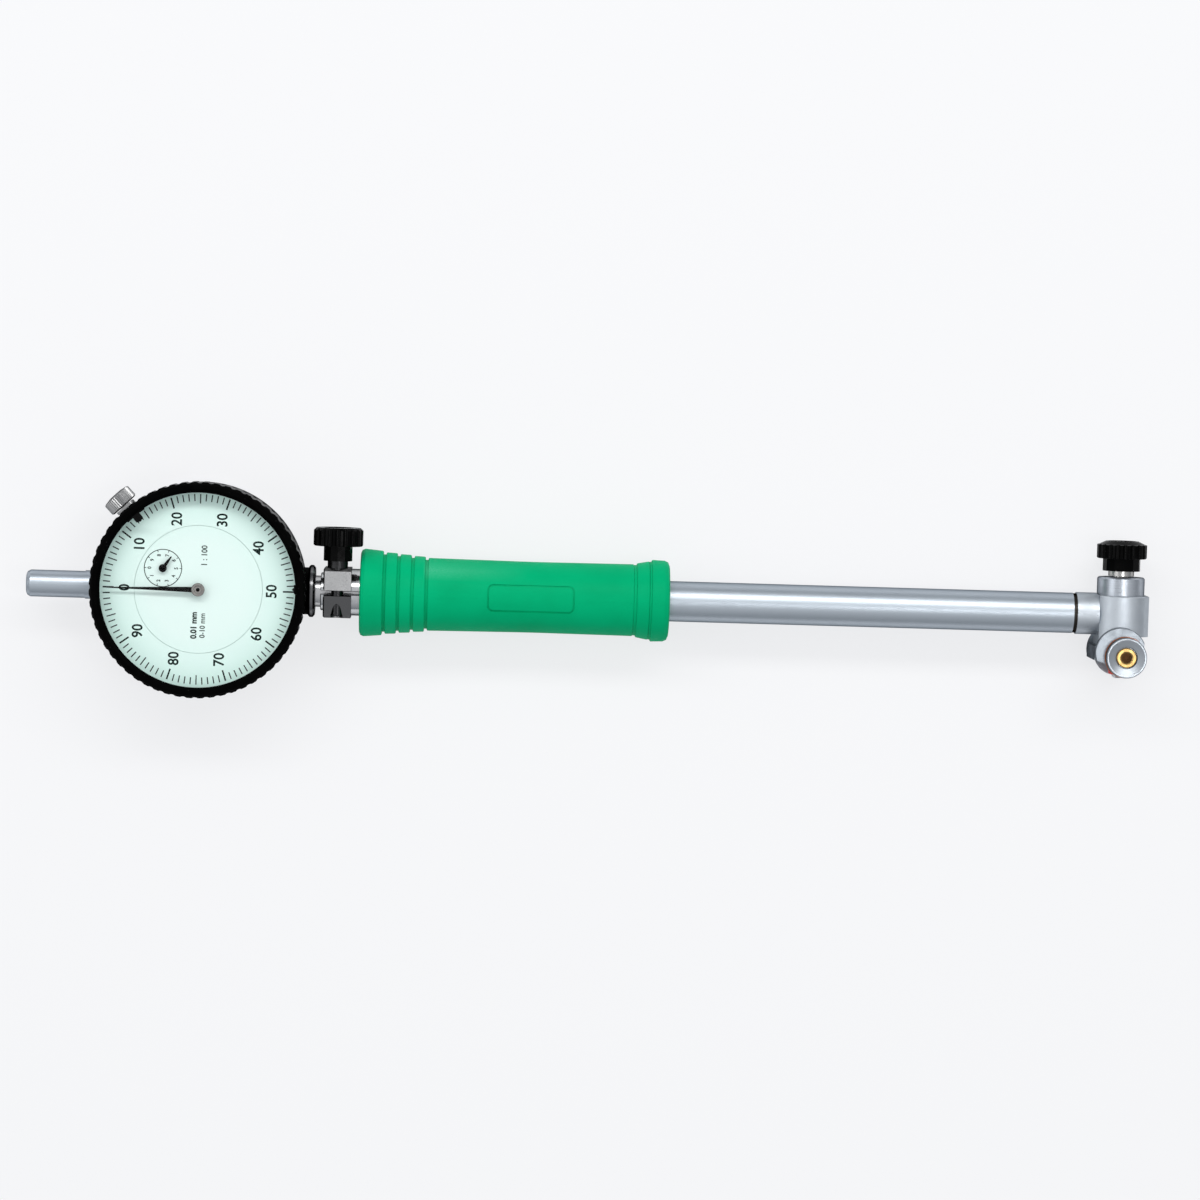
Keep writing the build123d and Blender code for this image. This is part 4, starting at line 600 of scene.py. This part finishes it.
def scuffOf(tree, vector, grain, paintedHighlight):
    # The painted highlight: full at the start, fading along X and across from the middle of the strip, and
    # broken up by the grain
    x, y, _ = splitVector(tree, vector)
    fade = remap(tree, x, paintedHighlight["from"], paintedHighlight["to"], 1.0, 0.0)
    started = remap(tree, x, paintedHighlight["from"] - mm, paintedHighlight["from"], 0.0, 1.0)
    off = calc(tree, "ABSOLUTE", calc(tree, "SUBTRACT", y, paintedHighlight["height"]))
    across = remap(tree, off, 0.0, paintedHighlight["width"], 1.0, 0.0)
    highlightAmount = calc(tree, "MULTIPLY", calc(tree, "MULTIPLY", fade, started), across)
    return calc(tree, "MULTIPLY", highlightAmount, remap(tree, grain, *paintedHighlight["grainSpan"], paintedHighlight["least"], 1.0))


def greenRubber(look):
    # Rubber: slow tone drift along the sleeve, fine pores, specks of dirt and one strip of painted
    # highlight
    material, tree, shader, vector = startMaterial("greenRubber", "tube")
    grain = useGroup(tree, surfaceGrain, vector, fine=look["fine"], slow=look["slow"])
    wear = look["wear"]
    marks = useGroup(
        tree, handlingMarks, vector, smudgeSize=wear["smudgeSize"], speckSize=wear["dirtSize"])
    toned = remap(tree, grain["mottle"], *noiseSpan, 0.0, 1.0)
    color = blendColor(tree, toned, look["low"], look["color"])
    color = blendColor(tree, calc(tree, "MULTIPLY", marks["specks"], wear["dirtMix"]), color, look["dirt"])
    # painted highlight: a pale green strip laid over the rubber's colour
    highlightAmount = scuffOf(tree, vector, grain["grain"], look["paintedHighlight"])
    color = blendColor(tree, highlightAmount, color, look["paintedHighlight"]["color"])
    tree.links.new(color, shader.inputs["Base Color"])
    unevenGloss(tree, shader, look["rough"], wear, grain["grain"], marks["smudge"])
    shader.inputs["IOR"].default_value = look["ior"]
    bumpFrom(tree, shader, grain["grain"], look["depth"])
    return material


# shadedRim is the mint of the painted shade that the bezel throws on the dial's outer part
dialLook = {
    "color": (0.82, 0.96, 0.915), "shadedRim": (0.70, 0.95, 0.87), "rough": 0.6, "fine": 15000.0, "slow": 90.0,
    "rimFrom": 12 * mm, "rimTo": 26 * mm, "rimShadeMix": 0.85, "mottleMix": 0.15, "depth": 3.0,
    "wear": {"spread": 0.05, "dulling": 0.0},
}


def dialPaint(look):
    # Matt mint paint, with painted shade from the bezel making it deeper towards the rim
    material, tree, shader, vector = startMaterial("dialPaint", "dial")
    grain = useGroup(tree, surfaceGrain, vector, fine=look["fine"], slow=look["slow"])
    _, radius = alongAndRadius(tree, vector)
    # painted shade: the bezel's shadow, blended in from rimFrom to rimTo towards the shaded rim colour
    rimShade = remap(tree, radius, look["rimFrom"], look["rimTo"], 0.0, look["rimShadeMix"])
    toned = calc(tree, "ADD", rimShade, calc(tree, "MULTIPLY", grain["mottle"], look["mottleMix"]))
    tree.links.new(blendColor(tree, toned, look["color"], look["shadedRim"]), shader.inputs["Base Color"])
    unevenGloss(tree, shader, look["rough"], look["wear"], grain["grain"], 0.0)
    bumpFrom(tree, shader, grain["grain"], look["depth"])
    return material


crystalLook = {"tint": (0.985, 1.0, 0.995), "ior": 1.15, "smudgeSize": 60.0, "rough": (0.01, 0.05)}


def clearCrystal(look):
    # Clear glass that lets the lamps through to the dial; faint smudges only change its gloss
    material, tree, shader, vector = startMaterial("clearCrystal", "dial")
    marks = useGroup(tree, handlingMarks, vector, smudgeSize=look["smudgeSize"])
    tree.links.new(remap(tree, marks["smudge"], 0.0, 1.0, *look["rough"]), shader.inputs["Roughness"])
    shader.inputs["Base Color"].default_value = (*look["tint"], 1)
    shader.inputs["Transmission Weight"].default_value = 1.0
    shader.inputs["IOR"].default_value = look["ior"]
    clear = tree.nodes.new("ShaderNodeBsdfTransparent")
    path = tree.nodes.new("ShaderNodeLightPath").outputs
    lighting = calc(tree, "MAXIMUM", path["Is Shadow Ray"], path["Is Diffuse Ray"])
    choose = tree.nodes.new("ShaderNodeMixShader")
    tree.links.new(lighting, choose.inputs[0])
    tree.links.new(shader.outputs[0], choose.inputs[1])
    tree.links.new(clear.outputs[0], choose.inputs[2])
    tree.links.new(choose.outputs[0], tree.nodes["Material Output"].inputs["Surface"])
    return material


def dress(node, material):
    for place in nodes[node].material_slots:
        place.material = material
    if not nodes[node].material_slots:
        nodes[node].data.materials.append(material)


def dressAll(pieces, looks, makeMaterial, ending):
    # One material for each look and axis, given to every node that has both
    finished = {}
    for (look, axis), names in pieces.items():
        finished[look, axis] = makeMaterial(look + ending + axis, looks[look], axis)
        for node in names:
            dress(node, finished[look, axis])
    return finished


dressAll(turnedPieces, metalLooks, turnedMetal, "Metal_")
dressAll(blastedPieces, blastedLooks, blastedMetal, "Metal_")
plastics = dressAll(plasticPieces, plasticLooks, mouldedPlastic, "_")
bladePaint, inkMaterial = plastics["pointerPaint", "dial"], plastics["printInk", "dial"]
mintPaint = dialPaint(dialLook)
dress("grip", greenRubber(gripLook))
dress("inner_dial", mintPaint)
dress("scale_ring", mintPaint)
dress("crystal", clearCrystal(crystalLook))
print("materials assigned")


# New pieces

def turnOutwards(mesh):
    solid = bmesh.new()
    solid.from_mesh(mesh)
    bmesh.ops.recalc_face_normals(solid, faces=solid.faces)
    solid.to_mesh(mesh)
    solid.free()


def placePiece(name, mesh, body):
    piece = bpy.data.objects.new(name, mesh)
    scene.collection.objects.link(piece)
    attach(piece, body)
    return piece


def addPiece(name, vertices, faces, body, material):
    mesh = bpy.data.meshes.new(name)
    mesh.from_pydata(vertices.tolist(), [], faces.tolist())
    mesh.materials.append(material)
    turnOutwards(mesh)
    return placePiece(name, mesh, body)


def wrappedFaces(steps, corners=4):
    # Faces of a grid that closes on itself both ways
    step, corner = np.meshgrid(np.arange(steps), np.arange(corners), indexing="ij")
    nextStep, nextCorner = (step + 1) % steps, (corner + 1) % corners
    faces = [
        step * corners + corner, nextStep * corners + corner,
        nextStep * corners + nextCorner, step * corners + nextCorner,
    ]
    return np.stack(faces, -1).reshape(-1, 4)


def flatRing(name, centre, look, body, material):
    # A box section swept round a circle: the grid runs over the angle and the section's four corners,
    # at the radius plus or minus half the width and at the two levels
    angle = np.linspace(0, 2 * np.pi, look["steps"], endpoint=False)[:, None]
    radii = look["radius"] + look["width"] * np.array([-0.5, 0.5, 0.5, -0.5])[None, :]
    low, high = look["levels"]
    x = centre[0] + radii * np.cos(angle)
    y = centre[1] + radii * np.sin(angle)
    z = np.broadcast_to(np.array([low, low, high, high]), x.shape)
    vertices = np.stack([x, y, z], -1).reshape(-1, 3) * mm
    return addPiece(name, vertices, wrappedFaces(look["steps"]), body, material)


# Printed scale, in mm

dialTop = 19.3
inkSink, inkRaise = 0.01, 0.03  # the ink starts just under the dial's face, so that no gap shows
inkLevels = (dialTop - inkSink, dialTop + inkRaise)
scaleLook = {
    "divisions": 100, "outer": 24.3, "small": 1.8, "fives": 2.4, "tens": 2.8, "thin": 0.28, "thick": 0.4,
    "numerals": 10, "numeralRadius": 18.7, "numeralSize": 3.8, "weight": 0.07,
}
counterLook = {
    "centre": (-9.1, 5.19), "divisions": 10, "outer": 4.7, "inner": 4.2, "thin": 0.16,
    "numeralRadius": 3.4, "numeralSize": 1.3, "weight": 0.03,
    "ring": {"radius": 4.75, "width": 0.2, "levels": inkLevels, "steps": 96},
}
textLook = {"condense": 0.92, "curveSteps": 3}
dialWords = [  # text, size, its middle's x and y, and what is added to the strokes
    ("0.01 mm", 2.1, -0.9, -9.2, 0.08),
    ("0-10 mm", 1.9, 1.3, -9.2, 0.03),
    ("1 : 100", 2.1, 1.4, 8.6, 0.03),
]
seatLook = {  # the painted seat that is seen in the seam between the two parts of the dial
    "radius": 16.5, "width": 0.5, "levels": (18.5, 18.85), "steps": 192,
}


def printedTicks(name, centre, angles, outer, inner, width, body):
    # Each tick is a thin block between two radii: its corners are the radius times the direction, plus or
    # minus half the width across it, at the two levels of the ink
    outer, inner, width = (np.broadcast_to(value, angles.shape) for value in (outer, inner, width))
    along = np.stack([np.cos(angles), np.sin(angles)], -1)[:, None, :]
    across = np.stack([-np.sin(angles), np.cos(angles)], -1)[:, None, :]
    radii = np.stack([outer, outer, inner, inner], -1)[:, :, None]
    sides = (np.array([-0.5, 0.5, 0.5, -0.5])[None, :] * width[:, None])[:, :, None]
    flat = np.array(centre) + along * radii + across * sides
    layers = [np.concatenate([flat, np.full(flat.shape[:2] + (1,), level)], -1) for level in inkLevels]
    vertices = np.concatenate(layers, 1).reshape(-1, 3) * mm
    block = np.array([[4, 7, 6, 5], [0, 1, 2, 3], [0, 4, 5, 1], [1, 5, 6, 2], [2, 6, 7, 3], [3, 7, 4, 0]])
    faces = (block[None] + 8 * np.arange(len(angles))[:, None, None]).reshape(-1, 4)
    return addPiece(name, vertices, faces, body, inkMaterial)


def textMesh(text, size, weight):
    # The text as a thin solid round the origin, and then its curve is thrown away
    curve = bpy.data.curves.new("printedWord", "FONT")
    curve.body = text
    curve.size = size * mm
    curve.align_x, curve.align_y = "CENTER", "CENTER"
    curve.extrude = inkRaise * mm / 2
    curve.offset = weight * mm
    curve.resolution_u = textLook["curveSteps"]
    holder = bpy.data.objects.new("printedWord", curve)
    scene.collection.objects.link(holder)
    bpy.context.view_layer.update()
    shown = holder.evaluated_get(bpy.context.evaluated_depsgraph_get())
    mesh = bpy.data.meshes.new_from_object(shown)
    bpy.data.objects.remove(holder)
    bpy.data.curves.remove(curve)
    return mesh


def printedText(name, words, body):
    # Every word is narrowed, turned with its top towards -X and laid on the dial
    sheet = bmesh.new()
    narrow = Matrix.Scale(textLook["condense"], 4, (1, 0, 0))
    for text, size, x, y, weight in words:
        word = textMesh(text, size, weight)
        place = Matrix.Translation((x * mm, y * mm, (dialTop + inkRaise / 2) * mm))
        word.transform(place @ Matrix.Rotation(math.radians(90), 4, "Z") @ narrow)
        sheet.from_mesh(word)
        bpy.data.meshes.remove(word)
    mesh = bpy.data.meshes.new(name)
    sheet.to_mesh(mesh)
    sheet.free()
    mesh.materials.append(inkMaterial)
    return placePiece(name, mesh, body)


def numeralsRound(centre, values, look, start, turn):
    # A numeral every turn of degrees round the centre, from start on
    words = []
    for n, value in enumerate(values):
        angle = math.radians(start + turn * n)
        x = centre[0] + look["numeralRadius"] * math.cos(angle)
        y = centre[1] + look["numeralRadius"] * math.sin(angle)
        words.append((str(value), look["numeralSize"], x, y, look["weight"]))
    return words


def printScale(look):
    # The large scale runs clockwise from -X and turns with the bezel
    count = np.arange(look["divisions"])
    tens, fives = count % 10 == 0, count % 5 == 0
    length = np.where(tens, look["tens"], np.where(fives, look["fives"], look["small"]))
    angles = np.pi - 2 * np.pi * count / look["divisions"]
    printedTicks(
        "scaleTicks", (0, 0), angles, look["outer"], look["outer"] - length,
        np.where(tens, look["thick"], look["thin"]), "bezel",
    )
    values = range(0, look["divisions"], look["divisions"] // look["numerals"])
    words = numeralsRound((0, 0), values, look, 180, -360 / look["numerals"])
    printedText("scaleNumerals", words, "bezel")


def printCounter(look):
    # The counter's small scale runs the other way round
    flatRing("counterRing", look["centre"], look["ring"], "indicator", inkMaterial)
    angles = np.pi + 2 * np.pi * np.arange(look["divisions"]) / look["divisions"]
    printedTicks(
        "counterTicks", look["centre"], angles, look["outer"], look["inner"], look["thin"],
        "indicator",
    )
    words = numeralsRound(look["centre"], range(look["divisions"]), look, 180, 360 / look["divisions"])
    printedText("counterNumerals", words, "indicator")


printScale(scaleLook)
printCounter(counterLook)
flatRing("dialSeat", (0, 0), seatLook, "indicator", mintPaint)
printedText("dialWords", dialWords, "indicator")
print("printed scale laid on the dial")


# Pointers, in mm

pointerLooks = {  # where the blade's half widths are given, and the radii of the eye and of the bore in it
    "mainBlade": {
        "node": "main_pointer", "body": "pointer", "centre": (0, 0), "heading": 180.0,
        "radii": (1.4, 9.0, 16.0, 22.0, 23.4), "halfWidths": (0.7, 0.48, 0.27, 0.15, 0.09),
        "eye": 1.6, "bore": 0.5, "levels": (21.0, 21.2),
    },
    "counterBlade": {
        "node": "counter_pointer", "body": "counter", "centre": (-9.10336, 5.19263), "heading": 55.0,
        "radii": (0.95, 2.2, 3.7), "halfWidths": (0.42, 0.33, 0.14),
        "eye": 1.02, "bore": 0.5, "levels": (20.1, 20.45),
    },
}
eyeSteps = 48


def pointerBlade(name, look):
    # A flat plate round a bore. Its outline goes by angle and reach from the arbor: the blade's stations at
    # atan2(half width, radius) and their length, one side after the other, joined by the arc of the eye
    radii, halfWidths = np.array(look["radii"]), np.array(look["halfWidths"])
    side, reach = np.arctan2(halfWidths, radii), np.hypot(radii, halfWidths)
    start = math.asin(halfWidths[0] / look["eye"])
    arc = np.linspace(start, 2 * np.pi - start, eyeSteps)
    angles = np.concatenate([side[:0:-1], arc, 2 * np.pi - side[1:]]) + math.radians(look["heading"])
    outer = np.concatenate([reach[:0:-1], np.full(arc.shape, look["eye"]), reach[1:]])
    bore = np.full(outer.shape, look["bore"])
    distance = np.stack([bore, outer, outer, bore], -1)
    low, high = look["levels"]
    x = look["centre"][0] + distance * np.cos(angles)[:, None]
    y = look["centre"][1] + distance * np.sin(angles)[:, None]
    z = np.broadcast_to(np.array([low, low, high, high]), x.shape)
    vertices = np.stack([x, y, z], -1).reshape(-1, 3) * mm
    piece = addPiece(name, vertices, wrappedFaces(len(angles)), look["body"], bladePaint)
    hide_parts(look["node"])


for name, look in pointerLooks.items():
    pointerBlade(name, look)
print("pointers cut")


# Springs

springLooks = {  # the end that stays put, and how far the joint brings the other end towards it
    "rodSpring": {
        "node": "rod_spring", "joint": "rod_slide", "axis": (1, 0, 0),
        "anchor": (68 * mm, 0, axisHeight), "travel": 1.39 * mm,
    },
    "bridgeSprings": {
        "node": "bridge_springs", "joint": "bridge_slide", "axis": (0, 1, 0),
        "anchor": (236.8 * mm, -7 * mm, axisHeight), "travel": 2 * mm,
    },
}
weldDistance = 0.001 * mm


def shorteningSpring(name, look):
    # The spring's own coils, copied with their doubled points welded and put on the handle in place of the
    # node
    mesh = nodes[look["node"]].data.copy()
    mesh.name = name
    coils = bmesh.new()
    coils.from_mesh(mesh)
    bmesh.ops.remove_doubles(coils, verts=coils.verts, dist=weldDistance)
    coils.to_mesh(mesh)
    coils.free()
    piece = placePiece(name, mesh, "handle")
    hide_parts(look["node"])
    places = np.empty(len(mesh.vertices) * 3, dtype=np.float32)
    mesh.vertices.foreach_get("co", places)
    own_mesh(piece)


for name, look in springLooks.items():
    shorteningSpring(name, look)
